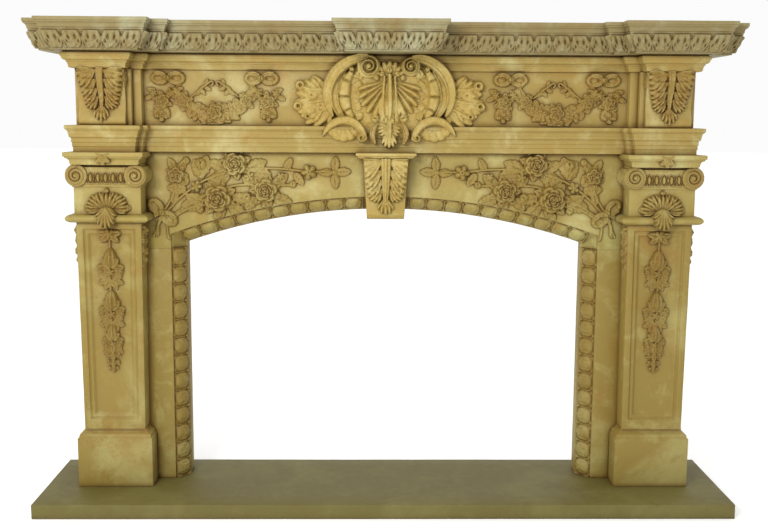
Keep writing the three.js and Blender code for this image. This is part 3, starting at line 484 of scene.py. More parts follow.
def fan_form(fingers, spread, ribs=0.15, scallop=0.18):
    """A fan of rounded fingers from the origin towards +z."""
    def form(x, z):
        r, a = np.hypot(x, z), np.arctan2(x, z)
        shift = 0 if fingers % 2 else math.pi / 2
        bulge = np.abs(np.cos(math.pi * np.clip(a / spread, -1, 1) * fingers / 2 + shift))
        s = r / ((1 - 0.22 * (a / spread) ** 2) * (1 - scallop + scallop * bulge ** 0.6))
        rise = 0.08 + 0.36 * np.clip(s, 0, 1) ** 0.8 - 0.26 * np.clip((s - 0.78) / 0.22, 0, 1) ** 2
        rise = np.maximum(rise + ribs * (bulge - 0.4) * np.clip(s * 1.6, 0, 1), 0.03)
        return np.where((s < 1) & (np.abs(a) < spread), rise, 0)
    return form


frond_form = fan_form(5, 0.62)
wide_frond = fan_form(7, 0.95)
narrow_frond = fan_form(3, 0.42)


def curved(points, rounds=3):
    """Corner cutting: a polyline of stations becomes a smooth one that keeps its ends."""
    line = np.array(points, float)
    for _ in range(rounds):
        cut = np.empty((2 * len(line) - 2, line.shape[1]))
        cut[0::2] = 0.75 * line[:-1] + 0.25 * line[1:]
        cut[1::2] = 0.25 * line[:-1] + 0.75 * line[1:]
        line = np.vstack([line[:1], cut, line[-1:]])
    return line


def round_band(d, t):
    return np.sqrt(np.clip(1 - d ** 2, 0, 1))


def channel_band(d, t):
    return (0.72 + 0.28 * np.exp(-((np.abs(d) - 0.70) / 0.22) ** 2)) * np.sqrt(np.clip(1 - d ** 6, 0, 1))


def hollow_band(d, t):
    return (0.84 + 0.16 * np.exp(-((np.abs(d) - 0.66) / 0.20) ** 2)) * np.clip(1 - d ** 4, 0, 1) ** 0.5


def ribbon_band(d, t):
    return 0.75 * np.sqrt(np.clip(1 - d ** 6, 0, 1)) + 0.25 * np.abs(d) * np.sign(np.sin(t * 9))


def slatted_band(d, t):
    notch = np.exp(-((t * 3.999 % 1 - 0.5) / 0.46) ** 12)
    return np.sqrt(np.clip(1 - d ** 4, 0, 1)) * (0.70 + 0.30 * notch)


def stroke(c, points, lift=0.0, profile=round_band, over=0.35, rounds=3):
    """A band along [x, z, half width, rise] stations."""
    line = curved(points, rounds) if rounds else np.array(points, float)
    near = np.full(c["h"].shape, 9.0)
    along = np.zeros_like(near)
    rise = np.zeros_like(near)
    count = len(line) - 1
    for k in range(count):
        a, b = line[k], line[k + 1]
        run = math.hypot(b[0] - a[0], b[1] - a[1])
        if run < 1e-7:
            continue
        area = window(c, (a[0] + b[0]) / 2, (a[1] + b[1]) / 2, max(a[2], b[2]) + run / 2)
        u, v = c["u"][area] - a[0], c["v"][area] - a[1]
        du, dv = (b[0] - a[0]) / run, (b[1] - a[1]) / run
        t = np.clip((u * du + v * dv) / run, 0, 1)
        d = np.hypot(u - t * run * du, v - t * run * dv) / np.maximum(a[2] + (b[2] - a[2]) * t, 1e-5)
        side = np.where(u * dv - v * du > 0, 1, -1)
        closer = d < np.abs(near[area])
        near[area] = np.where(closer, d * side, near[area])
        along[area] = np.where(closer, (k + t) / count, along[area])
        rise[area] = np.where(closer, a[3] + (b[3] - a[3]) * t, rise[area])
    hit = np.abs(near) < 1
    d = np.where(hit, near, 1)
    old = c["h"]
    new = np.maximum(lift, old * over) + rise * profile(d, along)
    c["h"] = np.where(hit, np.maximum(new, old), old)


def acanthus(c, x, z, length, turn, half, lift=0.0, deep=0.02, pairs=4, rib=0.12):
    """A whole leaf from its stalk: fronds in pairs, laid from the tip back, then the rib."""
    ahead = np.array((-math.sin(turn), math.cos(turn)))
    aside = np.array((math.cos(turn), math.sin(turn)))
    tip = np.array((x, z)) + ahead * length * 0.66
    lay(c, frond_form, *tip, length * 0.36, turn, lift, deep * 1.4, 0.4)
    for k in reversed(range(pairs)):
        t = k / pairs
        for side in (-1, 1):
            foot = np.array((x, z)) + ahead * length * (0.02 + 0.66 * t) + aside * side * half * 0.10
            size = half * (1.0 - 0.30 * t)
            lay(c, frond_form, *foot, size, turn - side * (1.15 - 0.45 * t), lift, deep * 1.5, 0.45)
    end = np.array((x, z)) + ahead * length * 0.9
    middle = (np.array((x, z)) + end) / 2
    stations = [(x, z, half * rib, deep * 0.4), (*middle, half * rib * 0.8, deep * 0.35),
                (*end, half * rib * 0.3, deep * 0.15)]
    stroke(c, stations, lift, channel_band, 0.7)


# %% [markdown]
# ### Ribbons and scrolls
# A bow is two open loops, a knot and fluttering tails. A volute is a raised band that winds into a
# round eye. Both are drawn with the same stroke, because a carver cuts both with the same gouge.

# %% Ribbons and scrolls
def bow(c, x, z, width, turn=0.0, lift=0.0, tails=True):
    def placed(stations):
        cos, sin = math.cos(turn), math.sin(turn)
        return [(x + width * (u * cos - v * sin), z + width * (u * sin + v * cos), width * w, width * h)
                for u, v, w, h in stations]
    if tails:
        for side in (-1, 1):
            tail = [(0, 0, 0.05, 0.08), (side * 0.10, -0.2, 0.06, 0.10), (side * 0.13, -0.36, 0.05, 0.07),
                    (side * 0.30, -0.52, 0.06, 0.10), (side * 0.33, -0.62, 0.02, 0.05)]
            stroke(c, placed(tail), lift, ribbon_band)
    for side in (-1, 1):
        angles = [2 * math.pi * k / 14 for k in range(15)]
        loop = [(side * (0.05 + 0.41 * (1 - math.cos(a)) / 2), 0.14 * math.sin(a), 0.070,
                 0.13 + 0.05 * math.sin(a)) for a in angles]
        middle = placed([(side * 0.255, 0, 0, 0)])[0]
        lay(c, ball_form, *middle[:2], width * 0.16, turn + math.pi / 2, lift, width * 0.07, 0.5, 0.7)
        stroke(c, placed(loop), lift, ribbon_band, rounds=1)
    lay(c, bud_form, x, z, width * 0.10, turn, lift, width * 0.16, 0.6)


def spiral(turns, start, end, phase, steps, way=1):
    """Places of a spiral that narrows from the start radius to the end radius."""
    places = []
    for k in range(steps + 1):
        t = k / steps
        radius = start + (end - start) * t
        angle = phase + way * 2 * math.pi * turns * t
        places.append((radius * math.cos(angle), radius * math.sin(angle), t))
    return places


def volute(c, x, z, radius, lift, rise, side=1, turns=1.9):
    lay(c, disc_form, x, z, radius, 0, lift, rise * 0.35, 0.3)
    wound = [(x + side * u, z + v, radius * (0.155 - 0.05 * t), rise * (0.62 + 0.3 * t))
             for u, v, t in spiral(turns, radius * 0.84, radius * 0.20, math.pi / 2, 40, -1)]
    stroke(c, wound, lift, channel_band, 0.35, 0)
    lay(c, ball_form, x, z, radius * 0.22, 0, lift + rise * 0.4, rise * 0.75, 0)


# %% [markdown]
# ### From canvas to stone
# Only what stands out is kept. Its outline is closed by walls that run into the block, and the back
# lies inside the block. A Displace modifier would need the whole face at this fineness; a shell that
# is cut out first and then decimated keeps its faces where the carving is. The shell also carries an
# attribute, `carved`, which tells the stone's material what was carved and what was only squared.

# %% Helpers: canvas to stone
def relief(name, c, surface, keep=0.45, sink=0.004, floor=0.0004, carved=1.0):
    """Bends a canvas onto a stone. `surface` gives points and outward normals for u and v."""
    h = c["h"].copy()
    soft = h.copy()
    soft[1:-1, 1:-1] = (4 * h[1:-1, 1:-1] + h[:-2, 1:-1] + h[2:, 1:-1] + h[1:-1, :-2] + h[1:-1, 2:]) / 8
    on = (h[:-1, :-1] > floor) | (h[1:, :-1] > floor) | (h[:-1, 1:] > floor) | (h[1:, 1:] > floor)
    for _ in range(4):
        cross = (on[:-1, :-1] & on[1:, 1:] & ~on[1:, :-1] & ~on[:-1, 1:])
        on[1:, :-1] |= cross
        cross = (~on[:-1, :-1] & ~on[1:, 1:] & on[1:, :-1] & on[:-1, 1:])
        on[:-1, :-1] |= cross
    base, out = surface(c["u"], c["v"])
    front = base + out * np.where(soft > floor, soft, -0.0012)[..., None]
    back = base - out * sink
    nu, nv = h.shape
    number = np.arange(nu * nv).reshape(nu, nv)
    corners = [number[:-1, :-1][on], number[1:, :-1][on], number[1:, 1:][on], number[:-1, 1:][on]]
    quads = [np.stack(corners, 1), np.stack(corners[::-1], 1) + nu * nv]
    framed = np.zeros((nu + 1, nv + 1), bool)
    framed[1:-1, 1:-1] = on
    for axis, start, end, forward in ((0, (0, 0), (0, 1), True), (0, (1, 0), (1, 1), False),
                                      (1, (0, 0), (1, 0), False), (1, (0, 1), (1, 1), True)):
        inner = framed[1:-1, 1:-1]
        if axis == 0:
            beside = framed[:-2, 1:-1] if start[0] == 0 else framed[2:, 1:-1]
        else:
            beside = framed[1:-1, :-2] if start[1] == 0 else framed[1:-1, 2:]
        rim = inner & ~beside
        i, j = np.nonzero(rim)
        a = number[i + start[0], j + start[1]]
        b = number[i + end[0], j + end[1]]
        if forward:
            a, b = b, a
        quads.append(np.stack([b, a, a + nu * nv, b + nu * nv], 1))
    faces = np.vstack(quads)
    used, packed = np.unique(faces.ravel(), return_inverse=True)
    points = np.vstack([front.reshape(-1, 3), back.reshape(-1, 3)])[used]
    data = bpy.data.meshes.new(name)
    data.from_pydata(points.tolist(), [], packed.reshape(-1, 4).tolist())
    share = data.attributes.new("carved", "FLOAT", "POINT")
    share.data.foreach_set("value", np.full(len(points), carved, np.float32))
    ob = bpy.data.objects.new(name, data)
    bpy.context.scene.collection.objects.link(ob)
    apply_modifier(ob, "DECIMATE", ratio=keep)
    only(ob)
    bpy.ops.object.shade_smooth_by_angle(angle=math.radians(50))
    return ob


def upright(projection, lean=0.0, foot=0.0):
    """The surface of a flat face that stands `projection` from the wall and leans out by `lean`."""
    length = math.hypot(1, lean)
    def surface(u, v):
        out = projection + lean * (v - foot)
        points = np.stack([u, WALL - out, v], -1)
        normal = np.empty_like(points)
        normal[:] = (0, -1 / length, -lean / length)
        return points, normal
    return surface


def profiled(front):
    """The surface of a face whose projection changes with the level."""
    levels = np.linspace(0.9, 1.5, 601)
    outs = np.array([front(z) for z in levels])
    slopes = np.gradient(outs, levels)

    def surface(u, v):
        out, slope = np.interp(v, levels, outs), np.clip(np.interp(v, levels, slopes), -1.2, 1.2)
        length = np.sqrt(1 + slope ** 2)
        return np.stack([u, WALL - out, v], -1), np.stack([0 * u, -1 / length, -slope / length], -1)
    return surface


# %% [markdown]
# ## The hearth and the piers
# The hearth slab is one sawn stone: a cube at its size and place, with its arrises eased. Bisect
# cuts it into hand-wide faces, so that its edges can waver and aren't ruler-straight. Subdivide would
# do it too, but a slab this long and thin needs another number of cuts each way.

# %% Hearth slab
def squared(name, low, high, cuts=(24, 6, 2)):
    fresh()
    middle = (Vector(low) + Vector(high)) / 2
    bpy.ops.mesh.primitive_cube_add(size=1, location=middle)
    ob = bpy.context.object
    ob.scale = Vector(high) - Vector(low)
    bpy.ops.object.transform_apply(location=True, rotation=True, scale=True)
    for axis, count in enumerate(cuts):
        for k in range(1, count):
            place = [0, 0, 0]
            place[axis] = low[axis] + (high[axis] - low[axis]) * k / count
            normal = [0, 0, 0]
            normal[axis] = 1
            bpy.ops.object.mode_set(mode="EDIT")
            bpy.ops.mesh.select_all(action="SELECT")
            bpy.ops.mesh.bisect(plane_co=place, plane_no=normal)
            bpy.ops.object.mode_set(mode="OBJECT")
    ob.name = ob.data.name = name
    return ob


hearth = worn(squared("hearth_stone", *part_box("hearth_slab"), cuts=(40, 6, 1)), 0.002, 0.0008)
print("hearth", triangles(hearth))

# %% [markdown]
# A plinth is a plain block, and the small moulding on it steps back to the shaft in a fillet and a
# wave. Both are one stone, so they are one section round one plan. The left one is a mirrored copy
# with its own mesh, turned inside out by the mirror, so its faces are flipped back.

# %% Plinths
PLINTH_STEP = 0.023
plinth_section = [[PLINTH_STEP, HEARTH_TOP + JOINT], [PLINTH_STEP, 0.13], [PLINTH_STEP, PLINTH_TOP - 0.002],
                  [0.018, PLINTH_TOP + 0.002], [0.018, PLINTH_TOP + 0.008]]
plinth_section += swell([0.018, PLINTH_TOP + 0.008], [0.005, SHAFT_FOOT - 0.007], "wave", 7)
plinth_section += [[0.003, SHAFT_FOOT - 0.007], [0.003, SHAFT_FOOT - JOINT]]
foot_plan = block_plan(PIER_X, SHAFT_WIDTH, 0.262)
plinth_right = worn(course("plinth_block_right", foot_plan, plinth_section), 0.0015, 0.0008)
plinth_left = mirrored(plinth_right, "plinth_block_left")
print("plinth", triangles(plinth_right))

# %% [markdown]
# A shaft widens a little as it rises. It starts as a cube whose top is widened and pulled forward.
# Its front has a sunk panel: the face is inset for the frame, then stepped down by a small moulding,
# as a mason would sink it. A boolean could sink it too, but insets keep clean edges for the bevel.

# %% Shaft block
PANEL_FRAME = 0.020
PANEL_STEPS = ((0.0015, -0.003), (0.004, -0.0035), (0.005, 0.002), (0.003, 0.0), (0.006, -0.0055),
               (0.003, -0.002))


def shaft_block():
    """The tapering block with its sunk panel."""
    low = (PIER_X - SHAFT_WIDTH / 2, WALL - SHAFT_OUT, SHAFT_FOOT)
    high = (PIER_X + SHAFT_WIDTH / 2, WALL, SHAFT_TOP)
    ob = squared("shaft_block", low, high, (1, 1, 1))
    edit_points(ob, lambda p: p.z > SHAFT_TOP - 0.001)
    grow = SHAFT_TOP_WIDTH / SHAFT_WIDTH
    bpy.ops.transform.resize(value=(grow, 1, 1), center_override=(PIER_X, WALL, SHAFT_TOP))
    edit_points(ob, lambda p: p.z > SHAFT_TOP - 0.001 and p.y < 0)
    bpy.ops.transform.translate(value=(0, SHAFT_OUT - SHAFT_TOP_OUT, 0))
    edit_faces(ob, lambda c, n: n.y < -0.9)
    bpy.ops.mesh.inset(thickness=PANEL_FRAME)
    bpy.ops.mesh.select_mode(type="VERT")
    bpy.ops.object.mode_set(mode="OBJECT")
    edit_points(ob, lambda p: SHAFT_FOOT + 0.01 < p.z < SHAFT_FOOT + 0.03 and p.y < 0)
    bpy.ops.transform.translate(value=(0, 0, 0.012))
    middle = (SHAFT_FOOT + SHAFT_TOP) / 2
    edit_faces(ob, lambda c, n: n.y < -0.9 and abs(c.x - PIER_X) < 0.02 and abs(c.z - middle) < 0.05)
    for thickness, depth in PANEL_STEPS:
        bpy.ops.mesh.inset(thickness=thickness, depth=depth)
    bpy.ops.object.mode_set(mode="OBJECT")
    return ob


shaft = shaft_block()
for k in range(1, 24):
    level = SHAFT_FOOT + (SHAFT_TOP - SHAFT_FOOT) * k / 24
    only(shaft)
    bpy.ops.object.mode_set(mode="EDIT")
    bpy.ops.mesh.select_all(action="SELECT")
    bpy.ops.mesh.bisect(plane_co=(0, 0, level), plane_no=(0, 0, 1))
    bpy.ops.object.mode_set(mode="OBJECT")
worn(shaft, 0.0012, 0.0008)
print("shaft block", triangles(shaft))

# %% [markdown]
# On the panel hangs a drop of flowers and seed pods from a leafy flower. It grows narrower as it
# falls, and small leaves fill its sides. The parts are laid from the back to the front, and the
# whole is then raised a little. On both cheeks, just below the ring, hangs a short drop of its own.

# %% Shaft ornament
LEAN = (SHAFT_TOP_OUT - SHAFT_OUT) / (SHAFT_TOP - SHAFT_FOOT)
PANEL_DEPTH = 0.0125
DROP_TOP, DROP_FOOT = 0.916, 0.424
PODS = [(0.815, 0.033), (0.676, 0.033), (0.568, 0.027)]
POD_LEAVES = ((1.5, 1.25, 0.1), (2.3, 1.30, 0.3), (1.2, 1.15, 1.05), (2.0, 1.25, 1.2), (2.7, 1.2, 1.2))
CLUSTERS = [(0.520, 0.024), (0.492, 0.021), (0.466, 0.018), (0.446, 0.014)]
c = canvas((PIER_X - 0.062, DROP_FOOT), (PIER_X + 0.062, DROP_TOP), PITCH * 0.9)
stroke(c, [(PIER_X, 0.895, 0.005, 0.010), (PIER_X + 0.003, 0.75, 0.005, 0.008), (PIER_X, 0.45, 0.003, 0.005)])
for turn, long in ((1.35, 0.040), (-1.35, 0.040), (2.2, 0.038), (-2.2, 0.038), (0.5, 0.022), (-0.5, 0.022)):
    lay(c, leaf_form, PIER_X, 0.890, long, turn, 0.008, 0.022)
lay(c, flower_form, PIER_X, 0.893, 0.019, 0.3, 0.012, 0.014)
for level, size in PODS:
    foot = level - size * 0.9
    for side in (-1, 1):
        for turn, long, down in POD_LEAVES:
            lay(c, leaf_form, PIER_X + side * 0.003, foot - size * down, size * long, -side * turn, 0.003,
                size * 0.50)
    lay(c, pod_form, PIER_X, level, size, 0, 0.004, size * 0.62, 0.5, 0.86)
    for side in (-1, 1):
        lay(c, leaf_form, PIER_X + side * 0.002, foot - size * 0.15, size * 1.25, -side * 0.62, 0.008,
            size * 0.55)
        lay(c, flower_form, PIER_X + side * size * 0.98, foot - size * 0.38, size * 0.34, side, 0.006,
            size * 0.34)
    lay(c, flower_form, PIER_X, foot - size * 0.55, size * 0.42, 0.4, 0.008, size * 0.36)
for level, size in CLUSTERS:
    for side in (-1, 1):
        lay(c, leaf_form, PIER_X + side * 0.002, level + size * 0.4, size * 1.4, -side * 2.2, 0.003,
            size * 0.6)
        lay(c, bud_form, PIER_X + side * size * 0.9, level + size * 0.2, size * 0.28, side, 0.005, size * 0.3)
    lay(c, leaf_form, PIER_X, level + size * 0.5, size * 1.5, math.pi, 0.006, size * 0.7)
    lay(c, flower_form, PIER_X, level + size * 0.3, size * 0.40, level * 30, 0.008, size * 0.35)
c["h"] *= 1.15
roughened(c, 0.0006, 21)
drop_relief = relief("shaft_drop", c, upright(SHAFT_OUT - PANEL_DEPTH, LEAN, SHAFT_FOOT), 0.5)
print("drop", triangles(drop_relief))

# %% [markdown]
# The cheek's canvas runs from front to back. Its small drop is four clusters that shrink downwards.

# %% Shaft cheeks
def cheek(x, side):
    """The surface of a side face, whose canvas runs across the stone from front to back."""
    def surface(u, v):
        points = np.stack([0 * u + x, WALL + side * u, v], -1)
        return points, np.stack([0 * u + side, 0 * u, 0 * u], -1)
    return surface


cheeks = []
for side in (-1, 1):
    middle = -side * 0.247
    c = canvas((middle - 0.028, 0.78), (middle + 0.028, SHAFT_TOP - 0.004), PITCH)
    for k, level in enumerate((0.904, 0.868, 0.834, 0.806)):
        size = 0.022 - 0.003 * k
        for turn in (-0.5, 0.5):
            lay(c, leaf_form, middle, level, size * 2.2, math.pi + turn, 0.001, size * 1.1)
        lay(c, flower_form if k < 2 else bud_form, middle, level, size * 0.9, k, 0.002, size * 0.8)
    face = PIER_X + side * (SHAFT_TOP_WIDTH / 2 - 0.0015)
    cheeks.append(relief("shaft_cheek", c, cheek(face, side), 0.5))
shaft_right = joined("shaft_stone_right", [shaft, drop_relief] + cheeks)
shaft_left = mirrored(shaft_right, "shaft_stone_left")
print("shaft", triangles(shaft_right))

# %% [markdown]
# ## The capitals
# A capital has a half-round ring, a plain neck with a shell, a cushion with eggs between two
# scrolls, and an abacus with a flower on its middle. It is one stone, but its section turns back on
# itself under the abacus, so body and abacus are two skins that overlap. Its inner side stops where
# the lintel's slab starts, so its plan has one more step than a pier's.

# %% Capital block
ABACUS_OVER = 0.019
RING_OVER = 0.025


def capital_rows(section, projection, width=NECK_WIDTH):
    """Loops round the neck; behind the lintel's slab the loop steps in to the shaft's inner edge."""
    inner = PIER_X - SHAFT_WIDTH / 2
    rows = []
    for out, level in section:
        left, right, front = PIER_X - width / 2 - out, PIER_X + width / 2 + out, projection + out
        slab = SLAB_OUT + JOINT
        loop = [(inner, 0), (inner, slab), (left, slab), (left, front)]
        loop += [(left + (right - left) * k / 8, front) for k in range(1, 9)]
        loop += [(right, front * (1 - k / 8)) for k in range(1, 9)]
        rows.append([(x, WALL - p, level) for x, p in loop])
    return rows


ring_section = [[0, SHAFT_TOP + 2 * JOINT]]
ring_middle, ring_half = (SHAFT_TOP + NECK_FOOT) / 2, (NECK_FOOT - SHAFT_TOP) / 2
for k in range(1, 12):
    angle = math.pi * k / 12
    out = RING_OVER * math.sin(angle) ** 0.8
    ring_section.append([out, ring_middle - ring_half * math.cos(angle) * 0.92])
ring_section += [[0.001, NECK_FOOT], [0, NECK_FOOT + 0.004], [0, NECK_TOP - 0.004], [0.004, NECK_TOP - 0.002]]
ring_section.append([0.004, NECK_TOP + 0.004])
ring_section += swell(ring_section[-1], [0.012, NECK_TOP + 0.03], "ovolo", 5)
ring_section += [[0.012, ABACUS_FOOT - 0.008], [0.002, ABACUS_FOOT - 0.006], [0.002, ABACUS_FOOT + 0.001]]
ring = skin("capital_body", capital_rows(ring_section, NECK_OUT))

abacus_section = [[0.0, ABACUS_FOOT], [0.002, ABACUS_FOOT + 0.006]]
abacus_section += swell([0.002, ABACUS_FOOT + 0.006], [0.012, ABACUS_FOOT + 0.021], "cove", 5)
abacus_section += [[0.014, ABACUS_FOOT + 0.021], [0.014, ABACUS_FOOT + 0.025],
                   [ABACUS_OVER, ABACUS_FOOT + 0.027],
                   [ABACUS_OVER, COURSE_FOOT - JOINT]]
abacus = skin("abacus", capital_rows(abacus_section, 0.338 - ABACUS_OVER))
worn(ring, 0.0009, 0.0006)
worn(abacus, 0.0012, 0.0007)
print("capital block", triangles(ring) + triangles(abacus))

# %% [markdown]
# The scrolls look forward, and behind each one a bolster runs back along the capital's side to the
# wall, drawn in at its middle like a rolled cushion. A bolster is round all about, so it isn't carved
# on a canvas: it is a skin through rings of changing girth.

# %% Capital ornament
EYE_Z = (NECK_TOP + ABACUS_FOOT) / 2
VOLUTE_X, VOLUTE_OUT, VOLUTE_SIZE = 0.094, 0.301, 0.0355


def bolster(x, back, front):
    rows = []
    stations = 33
    for k in range(stations):
        t = k / (stations - 1)
        girth = 0.0325 - 0.008 * math.sin(math.pi * t) + (0.0022 if (k // 2) % 4 == 0 else 0)
        out = front + (back - front) * t
        rows.append([(x + girth * math.cos(a), WALL - out, EYE_Z + girth * math.sin(a)) for a in
                     (2 * math.pi * n / 20 for n in range(20))])
    ob = skin("bolster", rows)
    only(ob)
    bpy.ops.object.shade_smooth_by_angle(angle=math.radians(40))
    return ob


parts = [ring, abacus]
for side in (-1, 1):
    x = PIER_X + side * VOLUTE_X
    parts.append(bolster(x, SLAB_OUT + 0.003 if side < 0 else 0.002, VOLUTE_OUT + 0.002))
    c = canvas((x - 0.038, EYE_Z - 0.038), (x + 0.038, EYE_Z + 0.038), PITCH * 0.75)
    volute(c, x, EYE_Z, VOLUTE_SIZE, 0.001, 0.014, side)
    parts.append(relief("volute", c, upright(VOLUTE_OUT), 0.5, 0.006))
print("scrolls", len(parts), "parts")

# %% [markdown]
# Between the scrolls runs egg and dart. It repeats, so it is one formula over the canvas rather than
# one laid form after another.

# %% Capital eggs
def egg_row(c, along, across, pitch, width, depth):
    """Eggs in cups with darts between them; along and across are arrays over the canvas."""
    s = along / pitch % 1 - 0.5
    t = across / width - 0.5
    egg = np.sqrt(np.clip(1 - (s / 0.27) ** 2 - (t / 0.42) ** 2, 0, 1))
    ring_place = np.hypot(s / 0.40, t / 0.54)
    cup = 0.62 * np.exp(-((ring_place - 0.95) / 0.13) ** 4)
    dart = 0.58 * np.exp(-((np.abs(s) - 0.5) / 0.045) ** 2)
    c["h"] = np.maximum(c["h"], depth * np.maximum(np.maximum(egg, cup), np.maximum(dart, 0.06)))


EGG_FOOT, EGG_HEAD = NECK_TOP + 0.009, ABACUS_FOOT - 0.024
c = canvas((PIER_X - 0.060, EGG_FOOT), (PIER_X + 0.060, EGG_HEAD), PITCH * 0.8)
egg_row(c, c["u"] - PIER_X + 0.060, c["v"] - EGG_FOOT, 0.024, EGG_HEAD - EGG_FOOT, 0.013)
parts.append(relief("capital_eggs", c, upright(NECK_OUT + 0.009), 0.5))
print("eggs", triangles(parts[-1]))

# %% [markdown]
# The shell on the neck is two groups of fronds with a wide one between them. A leaf hangs over the
# ring below it, and a small flower sits on the abacus.

# %% Capital shell, leaf and flower
NECK_FRONDS = ((0.010, 0.985, 0.062, -1.35), (0.012, 0.990, 0.058, -0.95), (0.010, 0.995, 0.050, -0.5))
c = canvas((PIER_X - 0.090, NECK_FOOT + 0.002), (PIER_X + 0.090, NECK_TOP - 0.003), PITCH * 0.9)
for side in (-1, 1):
    for x, z, size, turn in NECK_FRONDS:
        lay(c, frond_form, PIER_X + side * x, z - 0.012, size, side * turn, 0.001, 0.030)
    volute(c, PIER_X + side * 0.066, 0.978, 0.010, 0.002, 0.010, side, 1.1)
lay(c, wide_frond, PIER_X, NECK_FOOT + 0.004, 0.062, 0, 0.004, 0.034, 0.5)
for x in (-0.030, 0.030, -0.054, 0.054, 0.0):
    lay(c, bud_form, PIER_X + x, NECK_FOOT + 0.074 - 22 * x * x, 0.008, x * 9, 0.004, 0.010)
parts.append(relief("neck_shell", c, upright(NECK_OUT), 0.5))
c = canvas((PIER_X - 0.040, 0.908), (PIER_X + 0.040, 0.992), PITCH * 0.8)
lay(c, ball_form, PIER_X, 0.952, 0.032, 0, 0.002, 0.014, 0, 0.9)
for side in (-1, 1):
    lay(c, frond_form, PIER_X + side * 0.004, 0.978, 0.050, math.pi - side * 0.55, 0.006, 0.030, 0.4)
lay(c, frond_form, PIER_X, 0.984, 0.070, math.pi, 0.010, 0.034, 0.4, 0.9)
parts.append(relief("ring_leaf", c, upright(NECK_OUT + RING_OVER - 0.006), 0.5, 0.018))
c = canvas((PIER_X - 0.026, ABACUS_FOOT + 0.0005), (PIER_X + 0.026, COURSE_FOOT - 0.001), PITCH * 0.75)
for turn in (-1.0, 1.0, -2.2, 2.2, math.pi):
    lay(c, leaf_form, PIER_X, 1.142, 0.026, turn, 0.001, 0.014)
lay(c, flower_form, PIER_X, 1.142, 0.013, 0.4, 0.002, 0.009)
parts.append(relief("abacus_flower", c, upright(0.334), 0.6, 0.016))
capital_right = joined("capital_stone_right", parts)
capital_left = mirrored(capital_right, "capital_stone_left")
print("capital", triangles(capital_right))

# %% [markdown]
# ## The opening
# Jamb and lintel share one edge: a splay with a sunk bed, and eggs in it from the hearth to the
# keystone. The edge is drawn once, as [offset, projection] from the opening's corner, and both stones
# are skinned along it, so they meet at the joint. On its outer side the jamb follows the plinth's
# moulding, as it was scribed to fit there.

# %% Jambs
EDGE = [[0, SLAB_BACK], [0, 0.140], [0.004, 0.141], [0.008, 0.147], [0.036, 0.178], [0.040, 0.186],
        [0.0445, 0.187], [0.0445, SLAB_OUT - 0.001], [0.046, SLAB_OUT]]
PLINTH_EDGE = PIER_X - 0.123 - JOINT


def jamb_block():
    rows = []
    side = PIER_X - SHAFT_WIDTH / 2
    beside = [(side - out - 2 * JOINT, level) for out, level in reversed(plinth_section[2:-1])]
    low, high = HEARTH_TOP + JOINT, JAMB_TOP
    for offset, projection in EDGE:
        inner = OPENING_HALF + offset
        edge = [(inner, low + (high - low) * k / 20) for k in range(21)]
        corners = edge + [(SLAB_EDGE, high), (SLAB_EDGE, SHAFT_FOOT)] + beside + [(PLINTH_EDGE, low)]
        rows.append([(x, WALL - projection, z) for x, z in corners])
    return skin("jamb_block", rows)


BED_LOW, BED_HIGH = (0.0035, 0.1405), (0.0435, 0.1865)
BED_WIDTH = math.hypot(BED_HIGH[0] - BED_LOW[0], BED_HIGH[1] - BED_LOW[1])
BED_WAY = ((BED_HIGH[0] - BED_LOW[0]) / BED_WIDTH, (BED_HIGH[1] - BED_LOW[1]) / BED_WIDTH)
EGG_DEPTH = 0.016
JAMB_EGGS = 13
EGG_PITCH = (JAMB_TOP - HEARTH_TOP - JOINT) / JAMB_EGGS


def jamb_splay(u, v):
    points = np.stack([OPENING_HALF + BED_LOW[0] + BED_WAY[0] * u, WALL - BED_LOW[1] - BED_WAY[1] * u, v], -1)
    return points, np.stack([0 * u - BED_WAY[1], 0 * u - BED_WAY[0], 0 * u], -1)


def border_row(c, along, across, pitch, width, depth):
    """The border: broad eggs with a groove on each flank, and drilled knobs along the opening."""
    s = along / pitch % 1 - 0.5
    t = across / width
    egg = np.clip(1 - np.abs(s / 0.485) ** 2.6 - np.abs((t - 0.56) / 0.46) ** 2.4, 0, 1) ** 0.5
    egg = egg * (1 - 0.14 * np.exp(-((np.abs(s) - 0.30 - 0.06 * np.cos(6 * t)) / 0.035) ** 2))
    dart = 0.60 * np.exp(-((np.abs(s) - 0.5) / 0.045) ** 2) * np.clip(3 * t, 0, 1)
    knobs = 0.0 * s
    for x, z, size in ((0.5, 0.16, 0.11), (0.0, 0.13, 0.09), (0.25, 0.17, 0.07)):
        away = ((np.abs(s) - x) ** 2 * 1.1 + (t - z) ** 2) / size ** 2
        knobs = np.maximum(knobs, size * 5 * np.sqrt(np.clip(1 - away, 0, 1)))
    lip = 0.30 * np.exp(-((t - 0.04) / 0.05) ** 4)
    c["h"] = depth * np.maximum(np.maximum(egg, dart), np.maximum(np.maximum(knobs, lip), 0.05))


c = canvas((0, HEARTH_TOP + 0.001), (BED_WIDTH, JAMB_TOP - 0.0005))
border_row(c, c["v"] - HEARTH_TOP - JOINT, c["u"], EGG_PITCH, BED_WIDTH, EGG_DEPTH)
roughened(c, 0.0005, 22)
jamb_eggs = relief("jamb_eggs", c, jamb_splay, 0.45, carved=0.3)
jamb_right = joined("jamb_stone_right", [worn(jamb_block(), 0.001, 0.0007), jamb_eggs])
jamb_left = mirrored(jamb_right, "jamb_stone_left")
print("jamb", triangles(jamb_right))

# %% [markdown]
# Each half of the lintel is a slab cut to the low arch. Its lower edge is the same splay, followed
# round the arc. The canvas of the eggs is straight, and it is bent round the arch only when it
# becomes stone, so the eggs turn with the curve and stay evenly spaced.

# %% Lintel block
KEY_HALF = 0.061


def arch_level(offset, x):
    return ARCH_CENTRE + np.sqrt((ARCH_RADIUS + offset) ** 2 - x ** 2)


